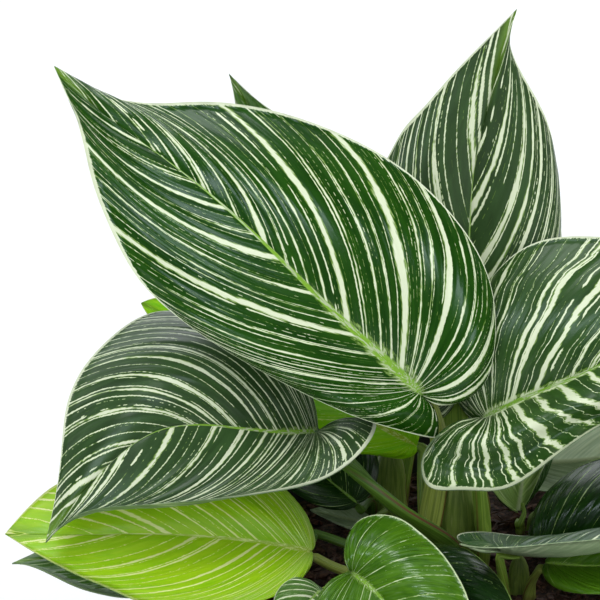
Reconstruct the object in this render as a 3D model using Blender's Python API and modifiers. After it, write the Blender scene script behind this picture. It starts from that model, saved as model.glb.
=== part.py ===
"""Philodendron birkin in a plain nursery pot.  Metres, +Z up."""
import bpy
import math
import numpy as np

# ---------------------------------------------------------------- frame
# Origin: centre of the pot's underside.  +Z up, -Y is the plant's front.
POT_HEIGHT = 0.115
SOIL_Z = 0.1045            # top of the potting mix at the crown
VIEW_ELEVATION = math.radians(25.0)
GAUGE = 0.0003             # metres per gauge unit, in the drawing plane
REACH = 0.95               # distance of the eye from the drawing plane
EYE_R = np.array([1.0, 0.0, 0.0])
EYE_U = np.array([0.0, math.sin(VIEW_ELEVATION), math.cos(VIEW_ELEVATION)])
EYE_F = np.array([0.0, math.cos(VIEW_ELEVATION), -math.sin(VIEW_ELEVATION)])
CROWN_X, CROWN_Y = 455.0, 565.0   # the crown in the 600 x 600 drawing
AIM = (
    np.array([0.0, 0.0, SOIL_Z])
    - EYE_R * (CROWN_X - 300.0) * GAUGE
    + EYE_U * (CROWN_Y - 300.0) * GAUGE
)


def at(x, y, d):
    """Drawing position (x right, y down, 600 x 600) and depth d in mm behind
    the drawing plane, as a point in metres."""
    x, y, d = np.asarray(x, float), np.asarray(y, float), np.asarray(d, float)
    s = GAUGE * (REACH + d / 1000.0) / REACH
    return (
        AIM
        + EYE_F * (d / 1000.0)[..., None]
        + EYE_R * ((x - 300.0) * s)[..., None]
        + EYE_U * ((300.0 - y) * s)[..., None]
    )


def spline(us, values):
    """Natural cubic spline through values at us; returns a function of u."""
    us = np.asarray(us, float)
    p = np.asarray(values, float).reshape(len(us), -1)
    n = len(us)
    h = np.diff(us)
    if n == 2:
        m = np.zeros_like(p)
    else:
        a = np.zeros((n, n))
        r = np.zeros_like(p)
        a[0, 0] = a[-1, -1] = 1.0
        for i in range(1, n - 1):
            a[i, i - 1], a[i, i], a[i, i + 1] = h[i - 1], 2 * (h[i - 1] + h[i]), h[i]
            r[i] = 6 * ((p[i + 1] - p[i]) / h[i] - (p[i] - p[i - 1]) / h[i - 1])
        m = np.linalg.solve(a, r)

    def f(u):
        u = np.atleast_1d(np.asarray(u, float))
        k = np.clip(np.searchsorted(us, u, side="right") - 1, 0, n - 2)
        hk = h[k][:, None]
        t0 = (us[k + 1] - u)[:, None]
        t1 = (u - us[k])[:, None]
        return (
            m[k] * t0**3 / (6 * hk)
            + m[k + 1] * t1**3 / (6 * hk)
            + (p[k] / hk - m[k] * hk / 6) * t0
            + (p[k + 1] / hk - m[k + 1] * hk / 6) * t1
        )

    return f


def smooth(us, values):
    """Monotone-friendly cubic (PCHIP) through values at us, column by column."""
    us = np.asarray(us, float)
    p = np.asarray(values, float).reshape(len(us), -1)
    h = np.diff(us)[:, None]
    s = np.diff(p, axis=0) / h
    n = len(us)
    d = np.zeros_like(p)
    if n == 2:
        d[:] = s[0]
    else:
        for i in range(1, n - 1):
            w1, w2 = 2 * h[i] + h[i - 1], h[i] + 2 * h[i - 1]
            ok = s[i - 1] * s[i] > 0
            safe = np.where(ok, s[i - 1] * s[i], 1.0)
            num = (w1 + w2) * safe
            den = w1 * s[i] + w2 * s[i - 1]
            d[i] = np.where(ok, num / np.where(np.abs(den) < 1e-12, 1.0, den), 0.0)
        d[0], d[-1] = s[0], s[-1]

    def f(u):
        u = np.atleast_1d(np.asarray(u, float))
        k = np.clip(np.searchsorted(us, u, side="right") - 1, 0, n - 2)
        t = ((u - us[k]) / h[k, 0])[:, None]
        hk = h[k]
        return (
            p[k] * (2 * t**3 - 3 * t**2 + 1)
            + d[k] * hk * (t**3 - 2 * t**2 + t)
            + p[k + 1] * (-2 * t**3 + 3 * t**2)
            + d[k + 1] * hk * (t**3 - t**2)
        )

    return f


# Where each side vein leaves the midrib, as a share of the blade's length.
VEIN_U = [0, 0.06, 0.12, 0.18, 0.25, 0.32, 0.40, 0.48, 0.55, 0.62, 0.70, 0.78, 0.86, 0.93, 1.0]
VEIN_F = [0, 0.004, 0.008, 0.012, 0.017, 0.023, 0.032, 0.050, 0.09, 0.16, 0.27, 0.39, 0.55, 0.75, 1.0]
vein_start = smooth(VEIN_U, VEIN_F)

# Margin of a heart-based pointed blade: (u, across in half widths, along in lengths).
HEART = [
    (0.00, 0.03, -0.004), (0.06, 0.26, -0.075), (0.12, 0.52, -0.095), (0.18, 0.75, -0.060),
    (0.25, 0.92, 0.030), (0.32, 1.00, 0.150), (0.40, 0.99, 0.290), (0.48, 0.92, 0.420),
    (0.55, 0.82, 0.530), (0.62, 0.69, 0.640), (0.70, 0.52, 0.745), (0.78, 0.35, 0.835),
    (0.86, 0.19, 0.905), (0.93, 0.08, 0.955), (1.00, 0.0, 1.0),
]


def drawn_blade(b):
    """Blade given by its midrib and both margins in the drawing.  Returns
    surface(u, w) with w from -1, the left margin, to 1, the right one."""
    mid = spline([r[0] for r in b["mid"]], [r[1:4] for r in b["mid"]])
    length_u = [r[0] for r in b["mid"]]
    sides = {}
    for key, hand in (("left", -1.0), ("right", 1.0)):
        rows = b[key]
        edge = smooth([r[0] for r in rows], [r[1:4] for r in rows]) if b.get("tight") else spline([r[0] for r in rows], [r[1:4] for r in rows])
        bend = smooth([0, 0.1, 0.3, 0.6, 0.85, 1.0], b.get("bend_" + key, b.get("bend", [0.10, 0.26, 0.24, 0.20, 0.14, 0.0])))
        rise = b.get("rise_" + key, b.get("rise", [(0, 0, 0), (0.3, 6, 0), (0.6, 6, 0), (1, 0, 0)]))
        lift = smooth([r[0] for r in rise], [r[1:3] for r in rise])
        ripple = b.get("ripple_" + key, [])
        sides[key] = (hand * b.get("facing", 1), edge, bend, lift, ripple)

    def surface(u, w):
        u, w = np.broadcast_arrays(np.asarray(u, float), np.asarray(w, float))
        shape = u.shape
        u, w = u.ravel(), w.ravel()
        f = u if b.get("mid_by_u") else vein_start(u)[:, 0]
        m = mid(f)
        out = np.empty_like(m)
        for key, pick in (("left", w < 0), ("right", w >= 0)):
            if not pick.any():
                continue
            hand, edge, bend, lift, ripple = sides[key]
            uu, v = u[pick], np.abs(w[pick])[:, None]
            mm, ee = m[pick], edge(uu)
            c = ee - mm
            away = np.stack([-c[:, 1], c[:, 0], 0 * c[:, 0]], 1) * hand
            vv = (mm + ee) / 2 + away * bend(uu)
            p = mm * (1 - v) ** 2 + vv * 2 * v * (1 - v) + ee * v**2
            a = lift(uu)
            bulge = a[:, :1] * np.sin(np.pi * v**0.85) + a[:, 1:2] * np.sin(2 * np.pi * v)
            for amp, waves, phase, power, u0, u1 in ripple:
                inside = np.clip((uu - u0) / 0.06, 0, 1) * np.clip((u1 - uu) / 0.06, 0, 1)
                bulge = bulge + (amp * np.sin(2 * np.pi * (waves * uu + phase)) * inside)[:, None] * v**power
            p = p.copy()
            p[:, 2:3] -= bulge * b.get("facing", 1)
            out[pick] = p
        return at(out[:, 0], out[:, 1], out[:, 2]).reshape(shape + (3,))

    return surface


def unit(v):
    v = np.asarray(v, float)
    return v / np.maximum(np.linalg.norm(v, axis=-1, keepdims=True), 1e-12)


def grown_blade(b):
    """Blade given by a midrib in space, a half width and how it folds."""
    pts = np.array([at(*p[1:]) if p[0] == "at" else p for p in b["mid"]], float)
    chord = np.concatenate([[0], np.cumsum(np.linalg.norm(np.diff(pts, axis=0), axis=1))])
    total = chord[-1]
    mid = spline(chord / total, pts)
    n0, n1 = unit(b["up"]), unit(b.get("up_tip", b["up"]))
    half = b["half"]
    fold_l, fold_r = b.get("fold", (0.25, 0.25))
    droop = b.get("droop", 0.25)
    edge = spline([r[0] for r in HEART], [r[1:] for r in HEART])
    bend = smooth([0, 0.1, 0.3, 0.6, 0.85, 1.0], b.get("bend", [0.10, 0.26, 0.24, 0.20, 0.14, 0.0]))
    ripple = b.get("ripple", 0.0)
    narrow = b.get("narrow", 0.0)

    def surface(u, w):
        u, w = np.broadcast_arrays(np.asarray(u, float), np.asarray(w, float))
        shape = u.shape
        u, w = u.ravel(), w.ravel()
        hand = np.where(w < 0, -1.0, 1.0)
        v = np.abs(w)
        f = vein_start(u)[:, 0]
        e = edge(u)
        ex, ey = np.maximum(e[:, 0], 0.0) * half, e[:, 1] * total
        mx, my = 0.0, f * total
        cx, cy = ex - mx, ey - my
        bb = bend(u)[:, 0]
        vx, vy = (ex + mx) / 2 + cy * bb, (ey + my) / 2 - cx * bb
        x = mx * (1 - v) ** 2 + vx * 2 * v * (1 - v) + ex * v**2
        y = my * (1 - v) ** 2 + vy * 2 * v * (1 - v) + ey * v**2
        x = x * (1 - narrow * np.clip(y / total, 0, 1))
        g = np.clip(y / total, 0, 1)
        base = mid(g)
        step = 1e-3
        t = unit(mid(np.clip(g + step, 0, 1)) - mid(np.clip(g - step, 0, 1)))
        back = np.minimum(y, 0)[:, None]
        base = base + t * back
        up = unit(n0 * (1 - g)[:, None] + n1 * g[:, None])
        side = unit(np.cross(t, up))
        top = np.cross(side, t)
        r = np.abs(x) / half
        fold = np.where(hand < 0, fold_l, fold_r)
        height = half * (fold * r - droop * r**2) + ripple * r**2 * np.sin(u * 21.0 + hand)
        height = height + np.where(y < 0, -0.35 * np.abs(y), 0.0)
        p = base + side * (x * hand)[:, None] + top * height[:, None]
        return p.reshape(shape + (3,))

    return surface


def blade_surface(b):
    return drawn_blade(b) if "left" in b else grown_blade(b)

# ---------------------------------------------------------------- leaves
# Rows are (station, x, y, depth in mm) in the drawing.  A midrib's station is
# its share of the length; a margin's is the side vein that ends there.
BLADES = {
    "blade_large_front": dict(
        mid=[(0, 425, 398, -32), (0.1, 388, 363, -36), (0.25, 336, 314, -40), (0.5, 241, 221, -42),
             (0.75, 147, 146, -36), (0.9, 90, 102, -30), (1, 54, 66, -24)],
        left=[(0, 418.5, 404, -31), (0.06, 424, 419, -29), (0.12, 437, 437, -28), (0.18, 405, 431.5, -34), (0.25, 352, 415, -38),
              (0.32, 288, 385, -38), (0.40, 213, 342, -40), (0.48, 152, 294, -40), (0.55, 122, 252, -39), (0.62, 98, 198, -37),
              (0.70, 86, 155, -34), (0.78, 77, 120, -31), (0.86, 69, 101, -28), (0.93, 61, 83, -26), (1, 54, 66, -24)],
        right=[(0, 427, 397, -31), (0.06, 453, 399, -32), (0.12, 480, 388, -33), (0.18, 493, 357, -34), (0.25, 493, 297, -34),
               (0.32, 467, 235, -33), (0.40, 400, 167, -30), (0.48, 318, 125, -28), (0.55, 262, 108.5, -28), (0.62, 210, 102, -28),
               (0.70, 158, 103.5, -28), (0.78, 119, 99.5, -27), (0.86, 95, 90.5, -26), (0.93, 74, 77.5, -25), (1, 54, 66, -24)],
        bend_left=[0.10, 0.30, 0.15, 0.15, 0.18, 0.0], bend_right=[0.12, 0.40, 0.37, 0.25, 0.22, 0.0],
        rise_left=[(0, 0, 0), (0.12, 2, 0), (0.3, 7, -1), (0.6, 7, -1), (0.85, 3, 0), (1, 0, 0)],
        rise_right=[(0, 0, 0), (0.12, 4, 0), (0.3, 8, 0), (0.6, 8, 0), (0.85, 3, 0), (1, 0, 0)]),
    "blade_upright_back": dict(
        bend=[0.10, 0.28, 0.32, 0.32, 0.24, 0.0],
        mid=[(0, 456, 394, -8), (0.2, 464, 318, -11), (0.406, 469, 238, -14), (0.583, 474, 170, -18),
             (0.776, 491, 96, -23), (0.9, 504, 44, -27), (1, 517, 9, -31)],
        left=[(0, 454, 396, -8), (0.06, 443, 411, -9), (0.12, 431, 424, -10), (0.18, 413, 420, -10), (0.25, 387, 396, -9),
              (0.32, 368, 348, -8), (0.40, 361, 290, -9), (0.48, 362, 235, -11), (0.55, 371, 190, -14), (0.62, 387, 159, -16),
              (0.70, 404, 129, -19), (0.78, 424, 107, -21), (0.86, 452, 75, -24), (0.93, 484, 42, -28), (1, 517, 9, -31)],
        right=[(0, 458, 396, -8), (0.06, 470, 410, -6), (0.12, 484, 424, -3), (0.18, 505, 422, -1), (0.25, 532, 395, -2),
               (0.32, 553, 345, -5), (0.40, 562, 285, -8), (0.48, 561, 232, -11), (0.55, 559, 190, -14), (0.62, 554, 150, -16),
               (0.70, 545, 117, -19), (0.78, 530, 88, -22), (0.86, 514, 58, -25), (0.93, 509, 33, -28), (1, 517, 9, -31)],
        rise=[(0, 0, 0), (0.12, 3, 0), (0.3, 7, 0), (0.6, 7, 0), (0.85, 3, 0), (1, 0, 0)]),
    "blade_right_large": dict(
        mid=[(0, 480, 420, -25), (0.13, 528, 397, -30), (0.24, 568, 380, -34), (0.33, 600, 365, -36), (0.5, 665, 344, -36),
             (0.75, 760, 318, -30), (1, 850, 306, -18)],
        right=[(0, 478, 427, -26), (0.06, 457, 430, -30), (0.12, 436.5, 438.5, -34), (0.18, 422.5, 458, -37), (0.25, 429, 486.5, -40),
               (0.32, 462, 490, -44), (0.40, 507, 488, -47), (0.48, 553, 458, -49), (0.55, 600, 426, -49), (0.62, 655, 400, -46),
               (0.70, 710, 378, -42), (0.78, 757, 357, -36), (0.86, 795, 339, -30), (0.93, 822, 324, -24), (1, 850, 306, -18)],
        left=[(0, 478.5, 416, -24), (0.06, 470, 404, -22), (0.12, 463, 384, -20), (0.18, 463, 350, -19), (0.25, 475, 306, -19),
              (0.32, 505, 263, -21), (0.40, 549, 239, -23), (0.48, 600, 237, -25), (0.55, 645, 240, -26), (0.62, 690, 248, -26),
              (0.70, 732, 259, -27), (0.78, 770, 272, -27), (0.86, 803, 286, -25), (0.93, 828, 296, -22), (1, 850, 306, -18)],
        rise_left=[(0, 0, 0), (0.12, 4, 0), (0.3, 7, 0), (0.6, 8, 0), (0.85, 4, 0), (1, 0, 0)],
        rise_right=[(0, 0, 0), (0.12, 3, 2), (0.3, 4, 5), (0.6, 5, 4), (0.85, 3, 0), (1, 0, 0)]),
    "blade_left_curled": dict(
        mid=[(0, 318, 432, -14), (0.12, 281, 432, -19), (0.27, 235, 427.5, -25), (0.4, 198, 424.5, -29), (0.53, 160, 430, -33),
             (0.68, 122, 453, -37), (0.84, 82, 493, -40), (1, 45.5, 543, -42)],
        right=[(0, 316.5, 428, -12), (0.06, 301, 410, -7), (0.12, 284, 389, -2), (0.18, 262, 362, 4), (0.25, 233, 334, 8),
               (0.32, 200, 316, 10), (0.40, 165, 311, 9), (0.48, 137, 319, 5), (0.55, 114, 335, -1), (0.62, 92, 357, -8),
               (0.70, 76, 381, -15), (0.78, 66, 410, -22), (0.86, 61.5, 450, -30), (0.93, 56, 495, -36), (1, 45.5, 543, -42)],
        left=[(0, 320, 432, -16), (0.06, 345, 425, -21), (0.12, 371, 420.5, -25), (0.18, 375, 431, -30), (0.25, 358, 455.5, -38),
              (0.32, 326, 478, -46), (0.40, 280, 490.5, -49), (0.48, 225, 498, -50), (0.55, 180, 502, -50), (0.62, 140, 505, -49),
              (0.70, 110, 507, -47), (0.78, 88, 511, -46), (0.86, 73, 518, -45), (0.93, 58, 529, -44), (1, 45.5, 543, -42)],
        bend_right=[0.10, 0.32, 0.42, 0.46, 0.36, 0.0], bend_left=[0.10, 0.28, 0.30, 0.30, 0.24, 0.0],
        rise_right=[(0, 0, 0), (0.12, 3, -3), (0.25, 8, -3), (0.45, 12, 0), (0.7, 10, 0), (0.85, 5, 0), (1, 0, 0)],
        rise_left=[(0, 0, 0), (0.12, 5, 0), (0.3, 7, 2), (0.6, 6, 2), (0.85, 3, 0), (1, 0, 0)]),
    "blade_pale_behind": dict(
        mid=[(0, 417, 446, -3), (0.3, 335, 402, 10), (0.6, 250, 357, 23), (1, 141, 303, 36)],
        left=[(0, 416.5, 449, -3), (0.06, 412, 456, -3), (0.12, 398, 458.5, -1), (0.18, 378, 455, 3), (0.25, 350, 449, 8),
              (0.32, 312, 440, 12), (0.40, 268, 428, 18), (0.48, 232, 408, 23), (0.55, 208, 388, 26), (0.62, 188, 366, 29),
              (0.70, 170, 345, 32), (0.78, 157, 328, 34), (0.86, 149, 317, 35), (0.93, 144, 309, 36), (1, 141, 303, 36)],
        right=[(0, 417.5, 443, -3), (0.06, 417, 431, 0), (0.12, 412, 414, 4), (0.18, 398, 392, 8), (0.25, 374, 368, 13),
               (0.32, 346, 344, 15), (0.40, 310, 325, 20), (0.48, 276, 311, 25), (0.55, 248, 303, 28), (0.62, 222, 298, 31),
               (0.70, 198, 295, 33), (0.78, 177, 295, 35), (0.86, 162, 297, 36), (0.93, 151, 299, 36), (1, 141, 303, 36)],
        rise=[(0, 0, 0), (0.12, 2, 0), (0.3, 5, 0), (0.6, 5, 0), (0.85, 2, 0), (1, 0, 0)]),
    "blade_tall_behind": dict(
        mid=[(0, 437, 424, 8), (0.3, 392, 335, 26), (0.6, 326, 228, 30), (0.85, 262, 128, 20), (1, 229, 74, 12)],
        left=[(0, 434, 427, 9), (0.06, 424, 436, 12), (0.12, 406, 437, 17), (0.18, 384, 424, 22), (0.25, 354, 394, 29),
              (0.32, 326, 353, 34), (0.40, 301, 310, 37), (0.48, 281, 266, 38), (0.55, 266, 226, 36), (0.62, 254, 190, 32),
              (0.70, 246, 157, 27), (0.78, 240, 129, 21), (0.86, 236, 107, 17), (0.93, 233, 90, 14), (1, 229, 74, 12)],
        right=[(0, 439, 422, 9), (0.06, 450, 424, 12), (0.12, 463, 415, 16), (0.18, 472, 392, 20), (0.25, 474, 350, 24),
               (0.32, 463, 300, 27), (0.40, 442, 250, 28), (0.48, 411, 206, 27), (0.55, 380, 175, 25), (0.62, 346, 150, 22),
               (0.70, 313, 131, 19), (0.78, 286, 118, 17), (0.86, 266, 106.5, 15), (0.93, 248, 92, 13), (1, 229, 74, 12)],
        rise=[(0, 0, 0), (0.12, 3, 0), (0.3, 6, 0), (0.6, 6, 0), (0.85, 3, 0), (1, 0, 0)]),
    "blade_lime_low": dict(
        mid=[(0, 312, 551, -25), (0.15, 268, 543, -25), (0.35, 205, 536.5, -26), (0.6, 130, 534, -28), (0.8, 70, 535, -29), (1, 5, 534, -29)],
        right=[(0, 313, 547, -23), (0.06, 313, 536, -18), (0.12, 308, 522, -11), (0.18, 299, 507, -5), (0.25, 284, 489, 1),
               (0.32, 261, 474, 4), (0.40, 231, 463, 4), (0.48, 198, 457, 2), (0.55, 166, 457, -2), (0.62, 136, 460, -7),
               (0.70, 106, 467, -12), (0.78, 78, 476, -17), (0.86, 51, 488, -21), (0.93, 26, 510, -25), (1, 5, 534, -29)],
        left=[(0, 311, 555, -27), (0.06, 307, 569, -33), (0.12, 297, 582, -39), (0.18, 281, 593, -45), (0.25, 260, 601, -50),
              (0.32, 236, 607, -53), (0.40, 210, 609.5, -54), (0.48, 184, 609, -53), (0.55, 160, 606, -51), (0.62, 136, 600.5, -48),
              (0.70, 110, 589, -44), (0.78, 84, 578, -40), (0.86, 58, 565.5, -36), (0.93, 31, 550.5, -32), (1, 5, 534, -29)],
        rise=[(0, 0, 0), (0.12, 2, 0), (0.3, 5, 0), (0.6, 5, 0), (0.85, 2, 0), (1, 0, 0)]),
    "blade_dark_low": dict(
        mid=[(0, 312, 528, -9), (0.3, 225, 533, -15), (0.6, 140, 545, -18), (1, 12, 563.5, -22)],
        right=[(0, 312, 526, -8), (0.06, 306, 520, -3), (0.12, 294, 514, 2), (0.18, 277, 509, 6), (0.25, 256, 505, 9),
               (0.32, 232, 503, 10), (0.40, 206, 503, 10), (0.48, 178, 506, 8), (0.55, 152, 511, 5), (0.62, 127, 517, 1),
               (0.70, 102, 525, -4), (0.78, 78, 534, -9), (0.86, 55, 544, -14), (0.93, 33, 554, -18), (1, 12, 563.5, -22)],
        left=[(0, 313, 531, -10), (0.06, 316, 535, -11), (0.12, 316, 541, -12), (0.18, 306, 549, -15), (0.25, 288, 559, -21),
              (0.32, 262, 569, -29), (0.40, 230, 578, -35), (0.48, 196, 587, -38), (0.55, 162, 594, -38), (0.62, 130, 598, -36),
              (0.70, 100, 594, -33), (0.78, 76, 587, -30), (0.86, 52, 575.5, -27), (0.93, 30, 566, -24), (1, 12, 563.5, -22)],
        rise=[(0, 0, 0), (0.12, 1, 0), (0.3, 3, 0), (0.6, 3, 0), (0.85, 1, 0), (1, 0, 0)]),
    "blade_glossy_front": dict(
        mid=[(0, 351, 572, -49), (0.2, 371, 587, -55), (0.4, 391, 611, -62), (0.7, 425, 664, -74), (1, 470, 745, -84)],
        left=[(0, 349.5, 568, -48), (0.06, 346.5, 552, -44), (0.12, 348, 537, -40), (0.18, 357, 522.5, -37), (0.25, 376, 515, -36),
              (0.32, 398, 518, -38), (0.40, 418, 531, -42), (0.48, 435, 546, -47), (0.55, 447, 560, -52), (0.62, 458, 577, -57),
              (0.70, 467, 596, -63), (0.78, 474, 620, -69), (0.86, 478, 650, -75), (0.93, 477, 692, -80), (1, 470, 745, -84)],
        right=[(0, 347.5, 576, -50), (0.06, 336, 582, -52), (0.12, 323, 591, -56), (0.18, 315, 605, -60), (0.25, 313, 624, -65),
               (0.32, 318, 645, -70), (0.40, 330, 664, -75), (0.48, 345, 680, -79), (0.55, 361, 693, -82), (0.62, 379, 704, -84),
               (0.70, 399, 714, -86), (0.78, 419, 723, -87), (0.86, 438, 732, -86), (0.93, 455, 739, -85), (1, 470, 745, -84)],
        rise=[(0, 0, 0), (0.12, 3, 0), (0.3, 6, 0), (0.6, 5, 0), (0.85, 2, 0), (1, 0, 0)]),
    "blade_dark_front": dict(
        mid=[(0, 412, 560, -31), (0.3, 446, 588, -43), (0.6, 485, 632, -60), (1, 525, 680, -78)],
        left=[(0, 411, 557, -30), (0.06, 411, 550, -28), (0.12, 419, 544.5, -26), (0.18, 433, 544, -25), (0.25, 451, 545.5, -27),
              (0.32, 468, 550.5, -31), (0.40, 483, 561.5, -36), (0.48, 495, 573.5, -42), (0.55, 504, 585.5, -48), (0.62, 511, 599, -54),
              (0.70, 517, 615, -60), (0.78, 521, 634, -66), (0.86, 524, 652, -71), (0.93, 525.5, 667, -75), (1, 525, 680, -78)],
        right=[(0, 411, 563, -32), (0.06, 403, 568, -35), (0.12, 397, 577, -39), (0.18, 395, 590, -44), (0.25, 399, 606, -50),
               (0.32, 408, 622, -56), (0.40, 421, 635, -61), (0.48, 436, 646, -66), (0.55, 450, 654, -69), (0.62, 465, 661, -72),
               (0.70, 481, 667, -74), (0.78, 497, 672, -76), (0.86, 509, 676, -77), (0.93, 518, 679, -78), (1, 525, 680, -78)],
        rise=[(0, 0, 0), (0.12, 2, 0), (0.3, 4, 0), (0.6, 4, 0), (0.85, 2, 0), (1, 0, 0)]),
    "blade_edge_on": dict(
        mid=[(0, 500, 550, -36), (0.2, 545, 555.5, -38), (0.45, 600, 545, -40), (0.7, 668, 530, -38), (1, 745, 512, -30)],
        left=[(0, 499, 549, -35), (0.06, 480, 546, -33), (0.12, 462, 542, -31), (0.18, 457, 536, -28), (0.25, 468, 532.5, -25),
              (0.32, 490, 532.5, -22), (0.40, 520, 536, -20), (0.48, 553, 536, -19), (0.55, 580, 534.5, -18), (0.62, 608, 529, -18),
              (0.70, 640, 523, -19), (0.78, 672, 517, -21), (0.86, 702, 513, -24), (0.93, 727, 511, -27), (1, 745, 512, -30)],
        right=[(0, 500, 551, -38), (0.06, 481, 549.5, -44), (0.12, 464, 546, -50), (0.18, 460, 544.5, -56), (0.25, 475, 547, -61),
               (0.32, 500, 547.5, -64), (0.40, 527, 546, -65), (0.48, 556, 543, -64), (0.55, 582, 541, -62), (0.62, 608, 538, -58),
               (0.70, 640, 533, -53), (0.78, 672, 527, -47), (0.86, 702, 521, -41), (0.93, 727, 516, -35), (1, 745, 512, -30)],
        rise=[(0, 0, 0), (0.3, 1, 0), (0.6, 1, 0), (1, 0, 0)]),
    "blade_dark_right": dict(
        mid=[(0, 533, 545, 1), (0.3, 590, 531, -1), (0.6, 650, 516, -3), (1, 735, 500, -3)],
        left=[(0, 532, 543, 1), (0.06, 529, 534, 3), (0.12, 531, 524, 6), (0.18, 535, 512, 9), (0.25, 542, 498, 12),
              (0.32, 555, 484, 15), (0.40, 575, 469, 17), (0.48, 600, 458.5, 17), (0.55, 625, 454, 15), (0.62, 650, 455, 12),
              (0.70, 675, 462, 8), (0.78, 697, 472, 4), (0.86, 714, 482, 0), (0.93, 726, 491, -2), (1, 735, 500, -3)],
        right=[(0, 534, 547, 0), (0.06, 540, 555, -3), (0.12, 552, 560, -6), (0.18, 568, 562, -9), (0.25, 586, 560, -12),
               (0.32, 604, 557, -14), (0.40, 622, 552, -16), (0.48, 640, 546, -17), (0.55, 656, 540, -16), (0.62, 671, 534, -14),
               (0.70, 686, 527, -12), (0.78, 700, 520, -9), (0.86, 713, 513, -7), (0.93, 724, 507, -5), (1, 735, 500, -3)],
        rise=[(0, 0, 0), (0.12, 2, 0), (0.3, 5, 0), (0.6, 5, 0), (0.85, 2, 0), (1, 0, 0)]),
    "blade_low_right": dict(
        mid=[(0, 545, 563, -31), (0.3, 590, 566, -34), (0.6, 640, 562, -37), (1, 720, 552, -40)],
        right=[(0, 544, 566, -32), (0.06, 543, 572, -34), (0.12, 546, 579, -37), (0.18, 554, 586.5, -41), (0.25, 570, 592, -45),
               (0.32, 590, 594, -48), (0.40, 612, 594, -50), (0.48, 634, 591, -51), (0.55, 652, 587, -51), (0.62, 668, 582, -50),
               (0.70, 683, 576, -48), (0.78, 696, 569, -45), (0.86, 706, 562, -43), (0.93, 714, 557, -41), (1, 720, 552, -40)],
        left=[(0, 546, 561, -30), (0.06, 550, 556, -27), (0.12, 557, 551, -24), (0.18, 567, 546, -21), (0.25, 580, 542, -19),
              (0.32, 596, 539, -18), (0.40, 614, 537, -18), (0.48, 632, 536, -19), (0.55, 648, 536, -21), (0.62, 664, 537, -24),
              (0.70, 680, 540, -28), (0.78, 694, 543, -32), (0.86, 705, 546, -35), (0.93, 714, 549, -38), (1, 720, 552, -40)],
        rise=[(0, 0, 0), (0.12, 2, 0), (0.3, 4, 0), (0.6, 4, 0), (0.85, 2, 0), (1, 0, 0)]),
    "blade_shaded_left": dict(
        mid=[(0, 357, 503, 6), (0.3, 330, 481, 12), (0.6, 300, 458, 17), (1, 250, 424, 22)],
        left=[(0, 356, 505, 6), (0.06, 347, 509, 5), (0.12, 332, 508.5, 5), (0.18, 316, 504.5, 6), (0.25, 300, 496, 8),
              (0.32, 285, 485, 11), (0.40, 273, 473, 13), (0.48, 264, 462, 15), (0.55, 258, 452, 17), (0.62, 254, 444, 18),
              (0.70, 251, 437, 20), (0.78, 250, 432, 21), (0.86, 249, 429, 21), (0.93, 249, 426, 22), (1, 250, 424, 22)],
        right=[(0, 359, 501, 6), (0.06, 366, 497, 8), (0.12, 373, 489, 11), (0.18, 378, 473, 15), (0.25, 376, 455, 18),
               (0.32, 364, 438, 21), (0.40, 348, 426, 23), (0.48, 330, 418, 24), (0.55, 314, 414, 25), (0.62, 299, 412, 25),
               (0.70, 285, 412, 25), (0.78, 273, 414, 24), (0.86, 263, 417, 23), (0.93, 256, 420, 22), (1, 250, 424, 22)],
        rise=[(0, 0, 0), (0.12, 2, 0), (0.3, 4, 0), (0.6, 3, 0), (0.85, 1, 0), (1, 0, 0)]),
    "blade_pale_underside": dict(
        facing=-1,
        mid=[(0, 518, 511, 12), (0.3, 522, 481, 14), (0.6, 528, 446, 17), (1, 540, 398, 20)],
        right=[(0, 517, 513, 12), (0.06, 509, 507, 11), (0.12, 499, 498, 10), (0.18, 491, 486, 9), (0.25, 487, 472, 9),
               (0.32, 487, 457, 10), (0.40, 491, 443, 12), (0.48, 497, 431, 14), (0.55, 504, 422, 16), (0.62, 512, 414, 17),
               (0.70, 519, 409, 18), (0.78, 526, 405, 19), (0.86, 532, 402, 20), (0.93, 536, 400, 20), (1, 540, 398, 20)],
        left=[(0, 520, 511, 12), (0.06, 526, 503, 12), (0.12, 533, 490, 12), (0.18, 539, 476, 13), (0.25, 545, 463, 14),
              (0.32, 551, 450, 15), (0.40, 555, 438, 17), (0.48, 557, 427, 18), (0.55, 557, 418, 19), (0.62, 555, 411, 20),
              (0.70, 552, 406, 20), (0.78, 549, 402, 20), (0.86, 546, 400, 20), (0.93, 543, 399, 20), (1, 540, 398, 20)],
        rise=[(0, 0, 0), (0.12, 2, 0), (0.3, 4, 0), (0.6, 3, 0), (0.85, 1, 0), (1, 0, 0)]),
    "blade_grey_right": dict(
        facing=-1, attach=1,
        mid=[(0, 512, 462, 28), (0.3, 566, 462, 30), (0.6, 630, 452, 32), (1, 725, 424, 30)],
        right=[(0, 511, 460, 28), (0.06, 512, 446, 32), (0.12, 522, 432, 37), (0.18, 538, 420, 41), (0.25, 560, 412, 44),
               (0.32, 583, 407, 46), (0.40, 607, 403, 47), (0.48, 629, 401, 46), (0.55, 649, 401, 44), (0.62, 667, 402, 42),
               (0.70, 684, 405, 39), (0.78, 698, 409, 36), (0.86, 710, 414, 33), (0.93, 718, 419, 31), (1, 725, 424, 30)],
        left=[(0, 512, 464, 28), (0.06, 514, 476, 26), (0.12, 524, 486, 24), (0.18, 542, 491, 23), (0.25, 562, 492, 22),
              (0.32, 584, 490, 22), (0.40, 607, 484, 22), (0.48, 629, 476, 23), (0.55, 649, 467, 24), (0.62, 667, 458, 25),
              (0.70, 684, 449, 27), (0.78, 698, 441, 28), (0.86, 710, 434, 29), (0.93, 718, 429, 30), (1, 725, 424, 30)],
        rise=[(0, 0, 0), (0.12, 2, 0), (0.3, 4, 0), (0.6, 4, 0), (0.85, 2, 0), (1, 0, 0)]),
    "blade_small_striped": dict(
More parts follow.
